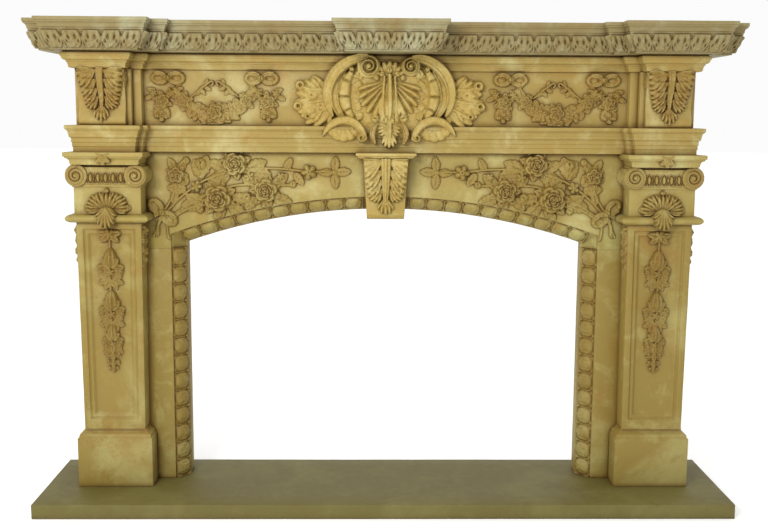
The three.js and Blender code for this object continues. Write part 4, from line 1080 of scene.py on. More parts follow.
def lintel_block():
    rows = []
    inner, top = KEY_HALF + JOINT, COURSE_FOOT - JOINT
    for offset, projection in EDGE:
        edge = OPENING_HALF + offset
        across = [edge + (inner - edge) * k / 32 for k in range(33)]
        arc = [(x, arch_level(offset, x)) for x in across]
        corners = [(edge, JAMB_TOP + JOINT)] + arc + [(inner, top)]
        corners += [(inner + (SLAB_EDGE - inner) * k / 20, top) for k in range(1, 21)]
        corners.append((SLAB_EDGE, JAMB_TOP + JOINT))
        rows.append([(x, WALL - projection, z) for x, z in corners])
    return skin("lintel_block", rows)


SWEEP_START = math.asin(OPENING_HALF / ARCH_RADIUS)
SWEEP_END = math.asin(0.074 / ARCH_RADIUS)
SWEEP = (SWEEP_START - SWEEP_END) * ARCH_RADIUS
ARCH_EGGS = round(SWEEP / EGG_PITCH)


def arch_splay(u, v):
    angle = SWEEP_START - v / ARCH_RADIUS
    radius = ARCH_RADIUS + BED_LOW[0] + BED_WAY[0] * u
    sin, cos = np.sin(angle), np.cos(angle)
    points = np.stack([radius * sin, WALL - BED_LOW[1] - BED_WAY[1] * u, ARCH_CENTRE + radius * cos], -1)
    return points, np.stack([-BED_WAY[1] * sin, 0 * u - BED_WAY[0], -BED_WAY[1] * cos], -1)


c = canvas((0, 0), (BED_WIDTH, SWEEP))
border_row(c, c["v"], c["u"], SWEEP / ARCH_EGGS, BED_WIDTH, EGG_DEPTH)
roughened(c, 0.0005, 23)
arch_eggs = relief("arch_eggs", c, arch_splay, 0.45, carved=0.3)
print("arch eggs", ARCH_EGGS)

# %% [markdown]
# Over the arch lies a spray of roses. Its big roses sit above the springing, a long stem carries a
# small flower towards the keystone, and a ribbon bow ties the stems at the pier. The carver drew it
# freely, so it is a list of places: [x, z, size, turn] in metres and radians for each leaf and flower.

# %% Lintel spray
ROSES = [(0.494, 1.119, 0.037, 0.3), (0.552, 1.006, 0.043, 1.1), (0.394, 1.032, 0.037, 2.0),
         (0.687, 1.081, 0.026, 0.7)]
FLOWERS = [(0.252, 1.093, 0.026, 0.2), (0.622, 1.045, 0.020, 1.0), (0.448, 1.078, 0.018, 0.4),
           (0.345, 1.078, 0.014, 0.1)]
BUDS = [(0.606, 1.118, 0.020, 0.2), (0.458, 1.010, 0.016, 0.8), (0.612, 0.968, 0.014, 0.9),
        (0.168, 1.092, 0.010, 0.4), (0.655, 1.128, 0.013, 0.2), (0.305, 1.052, 0.012, 0.3),
        (0.440, 0.985, 0.012, 0.1)]
LEAVES = [(0.610, 1.075, 0.075, 0.35), (0.600, 1.070, 0.070, -0.45), (0.585, 1.060, 0.075, 1.35),
          (0.590, 0.985, 0.075, -1.15), (0.600, 0.995, 0.070, -1.95), (0.515, 0.985, 0.070, 2.25),
          (0.505, 1.010, 0.060, 1.75), (0.455, 1.100, 0.070, 1.15), (0.450, 1.090, 0.075, 1.65),
          (0.470, 1.080, 0.060, 2.2), (0.525, 1.100, 0.062, -1.1), (0.520, 1.085, 0.060, -1.9),
          (0.370, 1.010, 0.070, 1.95), (0.400, 1.000, 0.060, 2.75), (0.425, 1.010, 0.055, -2.4),
          (0.370, 1.050, 0.060, 0.95), (0.300, 1.090, 0.050, 2.5), (0.330, 1.100, 0.045, 0.5),
          (0.655, 1.035, 0.065, -1.5), (0.650, 1.050, 0.060, -0.7), (0.690, 1.095, 0.048, -0.5),
          (0.680, 1.090, 0.048, 0.5), (0.440, 1.050, 0.060, -0.3), (0.645, 1.000, 0.050, -2.6),
          (0.560, 0.960, 0.045, 2.9), (0.168, 1.097, 0.048, 0.1), (0.163, 1.092, 0.050, 1.5),
          (0.168, 1.087, 0.050, 3.05), (0.174, 1.092, 0.046, -1.6), (0.690, 1.030, 0.045, -2.9)]
STEMS = [[(0.735, 0.945), (0.66, 1.025), (0.56, 1.085), (0.45, 1.105), (0.34, 1.104), (0.26, 1.094)],
         [(0.72, 0.935), (0.65, 0.985), (0.56, 1.03), (0.47, 1.055), (0.39, 1.04)],
         [(0.742, 0.945), (0.705, 1.0), (0.685, 1.05), (0.687, 1.08)],
         [(0.70, 0.94), (0.65, 0.975), (0.60, 0.98), (0.555, 1.0)],
         [(0.26, 1.092), (0.21, 1.096), (0.168, 1.092)],
         [(0.735, 0.945), (0.755, 0.905), (0.765, 0.88)],
         [(0.720, 0.935), (0.722, 0.895), (0.715, 0.87)],
         [(0.40, 1.04), (0.34, 1.05), (0.30, 1.05)]]
print("spray", len(ROSES), "roses", len(FLOWERS), "flowers", len(BUDS), "buds", len(LEAVES), "leaves")

# %% [markdown]
# The spray is carved from the stems up to the roses, each over a ring of leaves, and the bow comes
# last. What would hang over the arch's border is cut away along it.

# %% Lintel carving
BORDER_EDGE = 0.0475
c = canvas((0.085, 0.862), (SLAB_EDGE - 0.001, COURSE_FOOT - 0.0015), PITCH * 1.05)
for line in STEMS:
    stroke(c, [(x, z, 0.0048, 0.009) for x, z in line])
for x, z, size, turn in LEAVES:
    lay(c, leaf_form, x, z, size, turn, 0.003, 0.020, 0.7)
for x, z, size, turn in BUDS:
    lay(c, bud_form, x, z, size, turn, 0.003, size * 0.8)
for x, z, size, turn in FLOWERS:
    lay(c, flower_form, x, z, size, turn, 0.010, 0.006 + size * 0.6, 0.6)
for x, z, size, turn in ROSES:
    for k in range(7):
        lay(c, leaf_form, x, z, size * 1.50, turn + k * 0.9, 0.004, 0.026, 0.6)
    lay(c, rose_form, x, z, size * 1.04, turn, 0.014, 0.018 + size * 0.62, 0.5)
bow(c, 0.735, 0.958, 0.118, 0.75, 0.003)
border = arch_level(BORDER_EDGE, np.minimum(c["u"], OPENING_HALF))
border = border - np.maximum(c["u"] - OPENING_HALF, 0) * 3
c["h"] = np.where(c["v"] > border, c["h"], 0)
roughened(c, 0.0007, 24)
lintel_relief = relief("lintel_spray", c, upright(SLAB_OUT), 0.42)
lintel_right = joined("lintel_stone_right", [worn(lintel_block(), 0.001, 0.0008), lintel_relief, arch_eggs])
lintel_left = mirrored(lintel_right, "lintel_stone_left")
print("lintel", triangles(lintel_right))

# %% [markdown]
# ## The keystone
# The keystone narrows as it goes down and its front swells and draws in like an S. An acanthus leaf
# covers it, and a small abacus sits on it. The S is a list of [up, out] shares, which the body's
# skin and the leaf's canvas both follow, so the leaf lies on the stone at every level.

# %% Keystone
KEY_FOOT, KEY_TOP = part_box("keystone")[0].z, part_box("keystone")[1].z
KEY_TOP_HALF = 0.073
KEY_ABACUS = 0.020
KEY_OUT = 0.262
KEY_SHARES = [(0, 0.30), (0.03, 0.55), (0.08, 0.64), (0.14, 0.64), (0.22, 0.56), (0.34, 0.55),
              (0.46, 0.62), (0.6, 0.74), (0.74, 0.87), (0.86, 0.97), (0.94, 1.0), (1, 0.96)]


def key_front(z):
    up = (z - KEY_FOOT) / (KEY_TOP - KEY_ABACUS - KEY_FOOT)
    return SLAB_OUT + (KEY_OUT - SLAB_OUT) * float(np.interp(up, *zip(*KEY_SHARES)))


def keystone_body():
    rows = []
    for up, out in KEY_SHARES:
        half = KEY_HALF + (KEY_TOP_HALF - KEY_HALF) * up
        z = KEY_FOOT + (KEY_TOP - KEY_ABACUS + 0.001 - KEY_FOOT) * up
        front = WALL - SLAB_OUT - (KEY_OUT - SLAB_OUT) * out
        back = WALL - SLAB_OUT - JOINT
        ridge = (0, front - 0.002, z)
        rows.append([(-half, back, z), (-half, front, z), ridge, (half, front, z), (half, back, z)])
    return skin("keystone_body", rows)


def cap_rows(section, width, projection, back):
    rows = []
    for out, level in section:
        x, y = width / 2 + out, WALL - projection - out
        rows.append([(-x, WALL - back, level), (-x, y, level), (x, y, level), (x, WALL - back, level)])
    return rows


body_top = KEY_TOP - KEY_ABACUS
cap_section = [[0.001, body_top], [0.003, body_top + 0.002]]
cap_section += swell(cap_section[-1], [0.019, body_top + 0.011], "ovolo", 5)
cap_section += [[0.0245, body_top + 0.012], [0.0245, KEY_TOP]]
keystone_cap = skin("keystone_cap", cap_rows(cap_section, 2 * KEY_TOP_HALF, KEY_OUT, SLAB_OUT + JOINT))
tongue_low = (-KEY_HALF, WALL - SLAB_OUT - 2 * JOINT, KEY_FOOT + 0.012)
tongue = squared("keystone_tongue", tongue_low, (KEY_HALF, WALL - SLAB_BACK, KEY_TOP), (1, 1, 1))
print("keystone body", triangles(keystone_cap) + triangles(tongue))

# %% [markdown]
# The leaf hangs from under the abacus, with a small scroll at each upper corner and a stalk down its
# middle. The canvas is cut to the stone's narrowing width.

# %% Keystone leaf
c = canvas((-0.072, KEY_FOOT + 0.002), (0.072, body_top - 0.001), PITCH * 0.9)
acanthus(c, 0, 1.138, 0.178, math.pi, 0.080, 0.002, 0.030, 4, 0.20)
for side in (-1, 1):
    lay(c, ball_form, side * 0.057, 1.120, 0.015, 0, 0.004, 0.008)
    volute(c, side * 0.057, 1.120, 0.014, 0.006, 0.012, side, 1.2)
stalk = [(0, 1.138, 0.017, 0.010), (0, 1.08, 0.015, 0.011), (0, 1.02, 0.011, 0.010), (0, 0.985, 0.005, 0.006)]
stroke(c, stalk, 0.010, channel_band, 0.5)
midrib = [(0, 1.138, 0.005, 0.006), (0, 1.05, 0.005, 0.006), (0, 1.0, 0.003, 0.004)]
stroke(c, midrib, 0.018, round_band, 0.9)
half_at = KEY_HALF + (KEY_TOP_HALF - KEY_HALF) * (c["v"] - KEY_FOOT) / (body_top - KEY_FOOT)
c["h"] = np.where(np.abs(c["u"]) < half_at - 0.001, c["h"], 0)
roughened(c, 0.0007, 25)
key_relief = relief("keystone_leaf", c, profiled(key_front), 0.5)
key_parts = [worn(keystone_body(), 0.001, 0.0005), worn(keystone_cap, 0.001, 0.0004), tongue, key_relief]
keystone_stone = joined("keystone_stone", key_parts)
print("keystone", triangles(keystone_stone))

# %% [markdown]
# ## The courses above
# Architrave, bed moulding and shelf are long runs of section that break forward over each pier.
# Each section is written as shares of the course's overhang and height, as a mason's template would
# be scaled, and the plan is written for the left half and mirrored.

# %% Courses
BLOCK_HALF = 0.0875
BACKING_HALF = 0.114
ARCHITRAVE_HALF = 0.098
BED_BREAK_HALF = 0.073


def whole_plan(left):
    """A plan from its left half, whose corners come back mirrored on the right."""
    return left + [(-x, p) for x, p in reversed(left)]


def broken_plan(main, break_half, break_step, end_x):
    """The main face, a backing beside each pier, and a break over each pier."""
    back = main + BACKING
    return whole_plan([(-end_x, 0), (-end_x, back + break_step), (-PIER_X + break_half, back + break_step),
                       (-PIER_X + break_half, back), (-PIER_X + BACKING_HALF, back),
                       (-PIER_X + BACKING_HALF, main)])


def heights(foot, top, overhang, shares):
    """A section in metres from its shares of the overhang and the height."""
    return [[out * overhang, foot + (top - foot) * up] for out, up in shares]


ARCHITRAVE_TOP, ARCHITRAVE_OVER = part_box("architrave")[1].z, 0.021
architrave_shares = [[0, 0], [0, 0.20], [0.10, 0.21], [0.10, 0.36], [0.20, 0.37], [0.20, 0.52], [0.34, 0.54]]
architrave_shares += swell([0.34, 0.54], [0.50, 0.64], "ovolo", 4) + [[0.50, 0.67], [0.56, 0.68]]
architrave_shares += swell([0.56, 0.68], [0.86, 0.83], "cove", 5) + [[0.86, 0.86], [1, 0.87], [1, 1]]
architrave_plan = broken_plan(MAIN_OUT, ARCHITRAVE_HALF, BACKING, PIER_X + ARCHITRAVE_HALF)
architrave_section = heights(COURSE_FOOT, ARCHITRAVE_TOP, ARCHITRAVE_OVER, architrave_shares)
architrave = course("architrave_stone", architrave_plan, architrave_section)
worn(architrave, 0.0009, 0.0007)

BED_TOP, BED_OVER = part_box("bed_moulding")[1].z, 0.028
bed_shares = [[0.2, 0], [0.3, 0.08], [0.3, 0.20], [0.34, 0.21]]
bed_shares += swell([0.34, 0.21], [0.5, 0.36], "cove", 4) + [[0.5, 0.44]]
bed_shares += swell([0.54, 0.45], [0.9, 0.66], "ovolo", 6)
bed_shares += [[0.94, 0.68], [1, 0.70], [1, 0.91], [0.74, 0.93], [0.74, 1]]
bed = course("bed_moulding_stone", broken_plan(MAIN_OUT, BED_BREAK_HALF, FRONT_BREAK, PIER_X + BLOCK_HALF),
             heights(BED_FOOT, BED_TOP, BED_OVER, bed_shares))
worn(bed, 0.0009, 0.0007)
print("architrave", triangles(architrave), "bed", triangles(bed))

# %% [markdown]
# The shelf has a lip with two fillets over a leaning band of leaves. It also breaks forward over the
# cartouche, so its plan has one break more. Each straight run of the band takes a whole number of
# leaves, which is how a carver sets them out, so no leaf is cut by a corner.

# %% Shelf
SHELF_OVER, LIP = 0.080, 0.038
SHELF_END = 0.136
SHELF_BREAK_HALF = 0.091
CENTRE_HALF, CENTRE_BREAK = 0.1795, 0.112
SHELF_HEIGHT = SHELF_TOP - SHELF_FOOT


def shelf_plan():
    """The plan of the bed moulding's face, carried out to the shelf's ends, with the middle's break."""
    main = MAIN_OUT + BED_OVER
    back = main + BACKING
    front = back + FRONT_BREAK
    end_x = PIER_X + BLOCK_HALF + SHELF_END - SHELF_OVER
    half = SHELF_BREAK_HALF
    back_half = BACKING_HALF + BED_OVER
    centre_half = CENTRE_HALF - SHELF_OVER
    left = [(-end_x, 0), (-end_x, back), (-PIER_X - half, back), (-PIER_X - half, front),
            (-PIER_X + half, front), (-PIER_X + half, back), (-PIER_X + back_half, back),
            (-PIER_X + back_half, main)]
    middle = [(AXIS_X - centre_half, main), (AXIS_X - centre_half, main + CENTRE_BREAK),
              (AXIS_X + centre_half, main + CENTRE_BREAK), (AXIS_X + centre_half, main)]
    return left + middle + [(-x, p) for x, p in reversed(left)]


shelf_corners = shelf_plan()
lip_in = SHELF_OVER - LIP
shelf_shares = [[0, 0], [0, 0.06], [0.04, 0.065]] + swell([0.04, 0.065], [0.58, 0.60], "wave", 7)
shelf_shares += [[0.64, 0.61], [0.64, 0.67], [0.70, 0.68]] + swell([0.70, 0.68], [0.90, 0.83], "cove", 4)
shelf_shares += [[0.93, 0.84], [0.93, 0.88], [1, 0.89], [1, 1]]
shelf_section = [[lip_in + out * LIP, SHELF_FOOT + up * SHELF_HEIGHT] for out, up in shelf_shares]
shelf_block = course("shelf_block", shelf_corners, shelf_section)
worn(shelf_block, 0.001, 0.0008)
print("shelf block", triangles(shelf_block))

# %% [markdown]
# A leaf of the band hangs from the lip and curls over at its foot. `s` runs across the leaf from
# minus a half to a half and `t` up the band from nought to one. The slits between its fingers are
# drilled, because the band is seen from below and needs dark points to be read.

# %% Leaf band
def leaf_band(s, t):
    """One hanging leaf of the band: fingers with drilled slits, and a curled tip at its foot."""
    fingers = np.abs(np.cos(3 * math.pi * s)) ** 0.6
    edge = 0.47 * np.sqrt(np.clip(np.sin(math.pi * np.clip(0.10 + 0.72 * t, 0, 1)), 0, 1))
    leaf = np.where(np.abs(s) < edge, 0.42 + 0.34 * fingers * np.clip(3 * t - 0.3, 0, 1) + 0.12 * t, 0.05)
    knob = 0.98 * np.sqrt(np.clip(1 - (s / 0.20) ** 2 - ((t - 0.17) / 0.16) ** 2, 0, 1))
    dart = 0.62 * np.exp(-((np.abs(s) - 0.5) / 0.055) ** 2) * (t < 0.66)
    drilled = 0.0 * s
    for x, z in ((0.167, 0.62), (0.5, 0.80), (0.30, 0.36)):
        drilled = np.maximum(drilled, np.exp(-(((np.abs(s) - x) / 0.045) ** 2 + ((t - z) / 0.13) ** 2)))
    return np.maximum(np.maximum(leaf, dart) * (1 - 0.85 * drilled), knob)


LEAF_PITCH = 0.058
BAND_LOW, BAND_HIGH = (0.05, 0.075), (0.60, 0.60)
BAND_DEPTH = 0.0115


def band_row(share):
    """The plan's corners at one edge of the band, a millimetre proud of the block."""
    return plan_row(shelf_corners, lip_in + share[0] * LIP + 0.001, SHELF_FOOT + share[1] * SHELF_HEIGHT)


foot_row, head_row = band_row(BAND_LOW), band_row(BAND_HIGH)
slant = math.atan2((BAND_HIGH[0] - BAND_LOW[0]) * LIP, (BAND_HIGH[1] - BAND_LOW[1]) * SHELF_HEIGHT)
band_width = math.hypot((BAND_HIGH[0] - BAND_LOW[0]) * LIP, (BAND_HIGH[1] - BAND_LOW[1]) * SHELF_HEIGHT)


def band_surface(foot_start, foot_end, head_start, head_end, length):
    """The leaning face between two corners below and two above."""
    along = (Vector(foot_end) - Vector(foot_start)).normalized()
    outward = Vector((along.y, -along.x, 0))
    normal = (outward * math.cos(slant) - Vector((0, 0, 1)) * math.sin(slant)).normalized()
    def surface(u, v):
        s, t = (u / length)[..., None], (v / band_width)[..., None]
        low = np.array(foot_start) * (1 - s) + np.array(foot_end) * s
        high = np.array(head_start) * (1 - s) + np.array(head_end) * s
        points = low * (1 - t) + high * t
        return points, np.broadcast_to(np.array(normal), points.shape)
    return surface


band = []
leaf_count = 0
for k in range(len(foot_row) - 1):
    length = (Vector(head_row[k + 1]) - Vector(head_row[k])).length
    if length < 0.012:
        continue
    count = max(1, round(length / LEAF_PITCH))
    leaf_count += count
    c = canvas((0, 0), (length, band_width), PITCH * 1.05)
    c["h"] = BAND_DEPTH * leaf_band(c["u"] * count / length % 1 - 0.5, c["v"] / band_width)
    roughened(c, 0.0008, 28 + k)
    face = band_surface(foot_row[k], foot_row[k + 1], head_row[k], head_row[k + 1], length)
    band.append(relief("leaf_band", c, face, 0.36))
shelf = joined("shelf_stone", [shelf_block] + band)
print("shelf leaves", leaf_count, "triangles", triangles(shelf))

# %% [markdown]
# ## Frieze and consoles
# On each panel of the frieze a swag hangs between two bows. It is a rope of small flowers and leaves,
# thickest at the middle. Placing each of them by hand would be long and would look no better, so the
# small ones are placed along the curve by a seeded draw, and only the large roses have their place.

# %% Frieze
FRIEZE_X = PIER_X - BLOCK_HALF - JOINT
frieze_plan = whole_plan([(-FRIEZE_X, 0), (-FRIEZE_X, MAIN_OUT + BACKING),
                          (-PIER_X + BACKING_HALF, MAIN_OUT + BACKING), (-PIER_X + BACKING_HALF, MAIN_OUT)])
frieze_levels = (FRIEZE_FOOT, FRIEZE_FOOT + 0.06, FRIEZE_FOOT + 0.12, FRIEZE_TOP)
frieze_block = course("frieze_block", frieze_plan, [[0, level] for level in frieze_levels])
worn(frieze_block, 0.001, 0.0008)
print("frieze block", triangles(frieze_block))

# %% [markdown]
# The rope of the swag is a stroke, and the leaves, flowers and buds are laid over it, smaller towards
# its ends, with one big rose at its lowest place.

# %% Swag
GARLAND_X, SWAG_HALF = 0.551, 0.128
SWAG_TOP, SWAG_LOW = 1.360, 1.272
draw = random.Random(5)


def swag_place(t):
    return GARLAND_X + SWAG_HALF * t, SWAG_LOW + (SWAG_TOP - SWAG_LOW) * abs(t) ** 2.1


c = canvas((GARLAND_X - 0.225, 1.2475), (GARLAND_X + 0.225, 1.4185), PITCH * 0.95)
rope = [(*swag_place(k / 4), 0.017 * (1 - 0.5 * abs(k / 4)), 0.010) for k in range(-4, 5)]
stroke(c, rope)
for k in range(29):
    t = (k + 0.5) / 14.5 - 1
    x, z = swag_place(t)
    fat = 1 - 0.5 * abs(t)
    for side in (-1, 1):
        turn = math.atan(2.1 * t) + side * draw.uniform(0.2, 1.3) + (0 if side > 0 else math.pi)
        lay(c, leaf_form, x, z + side * 0.004, 0.034 * fat + 0.006, turn, 0.002, 0.016)
for k in range(22):
    t = (k + 0.5) / 11 - 1
    x, z = swag_place(t)
    fat = 1 - 0.55 * abs(t)
    for lift in (-0.013, 0.0, 0.013):
        size = 0.0085 * draw.uniform(0.75, 1.2) * (0.7 + 0.3 * fat)
        kind = draw.choice((flower_form, flower_form, bud_form, rose_form))
        u, v = x + draw.uniform(-0.004, 0.004), z + lift * fat + draw.uniform(-0.003, 0.003)
        lay(c, kind, u, v, size, draw.uniform(0, 6), 0.004, size, 0.6)
for k in range(7):
    lay(c, leaf_form, GARLAND_X, 1.288, 0.036, 0.5 + 0.9 * k, 0.004, 0.016)
lay(c, rose_form, GARLAND_X, 1.288, 0.025, 0.3, 0.010, 0.019, 0.3)
print("swag stands out", round(float(c["h"].max()), 3))

# %% [markdown]
# At each end a bunch of roses hangs below a bow, and a leafy sprig runs from the swag's shoulder to
# the middle of the panel. Both ends are one loop, with the sides turned by `end`.

# %% Bunches, sprigs and bows
BUNCH = ((0.100, 1.322, 0.021), (0.170, 1.320, 0.023), (0.140, 1.346, 0.013), (0.196, 1.345, 0.012))
BUNCH_LEAVES = ((0.190, 1.352, -1.3), (0.200, 1.338, -2.0), (0.125, 1.368, 0.8), (0.160, 1.372, -0.4))
SPRIG = ((0.075, 1.335), (0.056, 1.350), (0.044, 1.362), (0.026, 1.374), (0.010, 1.386), (0.004, 1.378),
         (0.010, 1.372))
SPRIG_LEAVES = ((0.052, 1.352, 0.7), (0.046, 1.358, 2.4), (0.030, 1.370, 0.3), (0.034, 1.366, 2.0),
                (0.066, 1.342, 1.1))
for end in (-1, 1):
    for x, z, size in BUNCH:
        for k in range(6):
            lay(c, leaf_form, GARLAND_X + end * x, z, size * 1.55, 0.4 + 1.05 * k + x * 9, 0.003, size * 0.7)
        kind = rose_form if size > 0.015 else flower_form
        lay(c, kind, GARLAND_X + end * x, z, size, end * x * 20, 0.007, size * 0.8, 0.3)
    for turn, long in ((-0.55, 0.046), (0.0, 0.050), (0.55, 0.046)):
        lay(c, leaf_form, GARLAND_X + end * 0.172, 1.306, long, math.pi + turn, 0.003, 0.019)
    for x, z in ((0.158, 1.272), (0.172, 1.262), (0.187, 1.273), (0.172, 1.284)):
        lay(c, bud_form, GARLAND_X + end * x, z, 0.0085, x * 50, 0.005, 0.010)
    for x, z, turn in BUNCH_LEAVES:
        lay(c, leaf_form, GARLAND_X + end * x, z, 0.030, end * turn, 0.002, 0.014)
    stroke(c, [(GARLAND_X + end * x, z, 0.0040 if k else 0.003, 0.009) for k, (x, z) in enumerate(SPRIG)])
    for x, z, turn in SPRIG_LEAVES:
        lay(c, leaf_form, GARLAND_X + end * x, z, 0.024, end * turn, 0.002, 0.012)
    bow(c, GARLAND_X + end * 0.150, 1.394, 0.108, 0, 0.003, tails=False)
c["h"] *= 1.35
roughened(c, 0.0006, 26)
garland_right = relief("garland_right", c, upright(MAIN_OUT), 0.42)
garland_left = mirrored(garland_right, "garland_left")
frieze = joined("frieze_stone", [frieze_block, garland_right, garland_left])
print("frieze", triangles(frieze))

# %% [markdown]
# Over each capital the frieze turns into a block with a console: the front rolls out at its top and
# draws in below, an acanthus leaf lies on it, and a scroll shows on its cheek. It is made as the
# keystone was, from one list of shares for its front.

# %% Consoles
CONSOLE_SHARES = [(0, 0.50), (0.04, 0.66), (0.09, 0.72), (0.16, 0.68), (0.24, 0.50), (0.34, 0.42),
                  (0.46, 0.43), (0.58, 0.56), (0.70, 0.76), (0.80, 0.92), (0.88, 1.0), (0.95, 0.98),
                  (1, 0.90)]
CONSOLE_BACK, CONSOLE_HALF = 0.300, 0.073
CONSOLE_FRONT = MAIN_OUT + BACKING + FRONT_BREAK
console_plan = block_plan(PIER_X, 2 * BLOCK_HALF, CONSOLE_BACK)
console_block = course("console_block", console_plan, [[0, FRIEZE_FOOT], [0, FRIEZE_TOP]])


def console_front(z):
    up = (z - FRIEZE_FOOT) / (FRIEZE_TOP - FRIEZE_FOOT)
    return CONSOLE_BACK + (CONSOLE_FRONT - CONSOLE_BACK) * float(np.interp(up, *zip(*CONSOLE_SHARES)))


console_rows = []
for up, out in CONSOLE_SHARES:
    z = FRIEZE_FOOT + (FRIEZE_TOP - FRIEZE_FOOT) * up
    back = WALL - CONSOLE_BACK + 0.002
    front = WALL - CONSOLE_BACK - (CONSOLE_FRONT - CONSOLE_BACK) * out
    left, right = PIER_X - CONSOLE_HALF, PIER_X + CONSOLE_HALF
    console_rows.append([(left, back, z), (left, front, z), (right, front, z), (right, back, z)])
console_body = skin("console_body", console_rows)
print("console body", len(console_rows), "levels")

# %% [markdown]
# The leaf hangs from the top with its tip down, so its turn is half a circle. The scrolls are carved
# on the cheeks, on a canvas that runs from front to back.

# %% Console carving
c = canvas((PIER_X - 0.072, FRIEZE_FOOT + 0.002), (PIER_X + 0.072, FRIEZE_TOP - 0.002), PITCH * 0.9)
acanthus(c, PIER_X, 1.417, 0.158, math.pi, 0.072, 0.001, 0.025, 4, 0.16)
for side in (-1, 1):
    lay(c, flower_form, PIER_X + side * 0.055, 1.402, 0.013, 0.4, 0.004, 0.010)
stalk = [(PIER_X, 1.416, 0.012, 0.008), (PIER_X, 1.35, 0.010, 0.009), (PIER_X, 1.29, 0.005, 0.005)]
stroke(c, stalk, 0.007, channel_band, 0.5)
roughened(c, 0.0006, 60)
parts = [worn(console_block, 0.001, 0.0006), worn(console_body, 0.001, 0.0005),
         relief("console_leaf", c, profiled(console_front), 0.5)]
for side in (-1, 1):
    middle = -side * 0.312
    c = canvas((middle - 0.024, FRIEZE_TOP - 0.056), (middle + 0.024, FRIEZE_TOP - 0.006), PITCH * 0.8)
    volute(c, middle, FRIEZE_TOP - 0.031, 0.0225, 0.0005, 0.006, 1, 1.5)
    parts.append(relief("console_scroll", c, cheek(PIER_X + side * 0.0725, side), 0.5))
console_right = joined("console_stone_right", parts)
console_left = mirrored(console_right, "console_stone_left")
print("console", triangles(console_right))

# %% [markdown]
# ## The cartouche
# The middle ornament is the deepest carving, and it is one stone set over three courses. Two strong
# C-scrolls rise over the top and wind into volutes beside the shell's hinge, leafy wings run out to
# both sides, two low scrolls lie beneath, and an acanthus leaf hangs over the architrave. It is laid
# from the back to the front. Places are in millimetres from its middle, which is how it was drawn,
# and depths are shares of its full depth. A low oval disc is the ground that all the rest stands on.

# %% Cartouche
CART_Z = (FRIEZE_FOOT + FRIEZE_TOP) / 2 - 0.010
CART_DEPTH = 0.072
c = canvas((AXIS_X - 0.316, CART_Z - 0.152), (AXIS_X + 0.316, SHELF_FOOT - 0.001), PITCH)


def cart_lay(form, side, u, v, size, turn=0.0, lift=0.0, deep=None, over=0.5, squash=1.0):
    """Places are in millimetres from the cartouche's middle; depths are shares of its full depth."""
    lay(c, form, AXIS_X + side * u / 1000, CART_Z + v / 1000, size / 1000, side * turn, lift * CART_DEPTH,
        None if deep is None else deep * CART_DEPTH, over, squash)


def cart_stroke(side, stations, lift=0.0, profile=round_band, over=0.35, rounds=3):
    placed = [(AXIS_X + side * u / 1000, CART_Z + v / 1000, half / 1000, rise * CART_DEPTH)
              for u, v, half, rise in stations]
    stroke(c, placed, lift * CART_DEPTH, profile, over, rounds)


cart_lay(lambda a, b: np.clip(2.6 * (1 - np.hypot(a, b)), 0, 1) ** 0.6, 1, 0, 14, 132, 0, 0, 0.46, 0, 1.52)
print("cartouche canvas", c["h"].shape)

# %% [markdown]
# The wings are furthest back. Each is a swelling with acanthus fronds fanned over it, three ribs to
# its tips, and a curled end on each tip, whose eye is drilled.

# %% Cartouche wings
WING_FRONDS = ((172, -10, 76, -2.25, 0.34), (168, 10, 124, -1.30, 0.44), (170, -8, 122, -1.90, 0.42),
               (170, 4, 136, -1.62, 0.50))
WING_RIBS = ([(196, 40, 7, 0.10), (240, 38, 6, 0.10), (278, 46, 3, 0.04)],
             [(200, 6, 7, 0.10), (246, 0, 6, 0.10), (286, -8, 3, 0.04)],
             [(196, -18, 6, 0.08), (226, -34, 5, 0.08), (256, -46, 3, 0.04)])
for side in (-1, 1):
    cart_lay(ball_form, side, 214, 4, 56, 0, 0, 0.26, 1.0, 1.2)
    for u, v, size, turn, deep in WING_FRONDS:
        cart_lay(frond_form, side, u, v, size, turn, 0.04, deep, 0.35)
    for u, v, size, turn in ((206, 24, 76, -1.26), (204, -12, 70, -1.96), (210, 6, 80, -1.62)):
        cart_lay(frond_form, side, u, v, size, turn, 0.14, 0.46, 0.4, 1.2)
    for line in WING_RIBS:
        cart_stroke(side, line, 0.10, round_band, 0.95)
    for u, v, size in ((286, 52, 17), (293, -14, 17), (262, -47, 12)):
        cart_lay(ball_form, side, u, v, size, 0, 0.12, 0.26, 0.3)
        wound = [(u + a, v + b, size * 0.28, 0.20)
                 for a, b, _ in spiral(1.1, size * 0.74, size * 0.34, -0.6, 16, 1)]
        cart_stroke(side, wound, 0.20, round_band, 0.5, 0)
        drill(c, AXIS_X + side * u / 1000, CART_Z + v / 1000, size * 0.00030, 0.55)
    for u, v in ((216, 26), (232, 14), (220, -12), (238, -26), (250, 22)):
        drill(c, AXIS_X + side * u / 1000, CART_Z + v / 1000, 0.0028, 0.3)
print("wings stand out", round(float(c["h"].max()), 3))

# %% [markdown]
# The big C-scroll on each side is one stroke that swells and rises on its way up, and it winds into
# a volute on a disc of its own. The left volute is the larger one. Inside the scroll runs a band of
# slats, with a row of small fronds towards the shell.

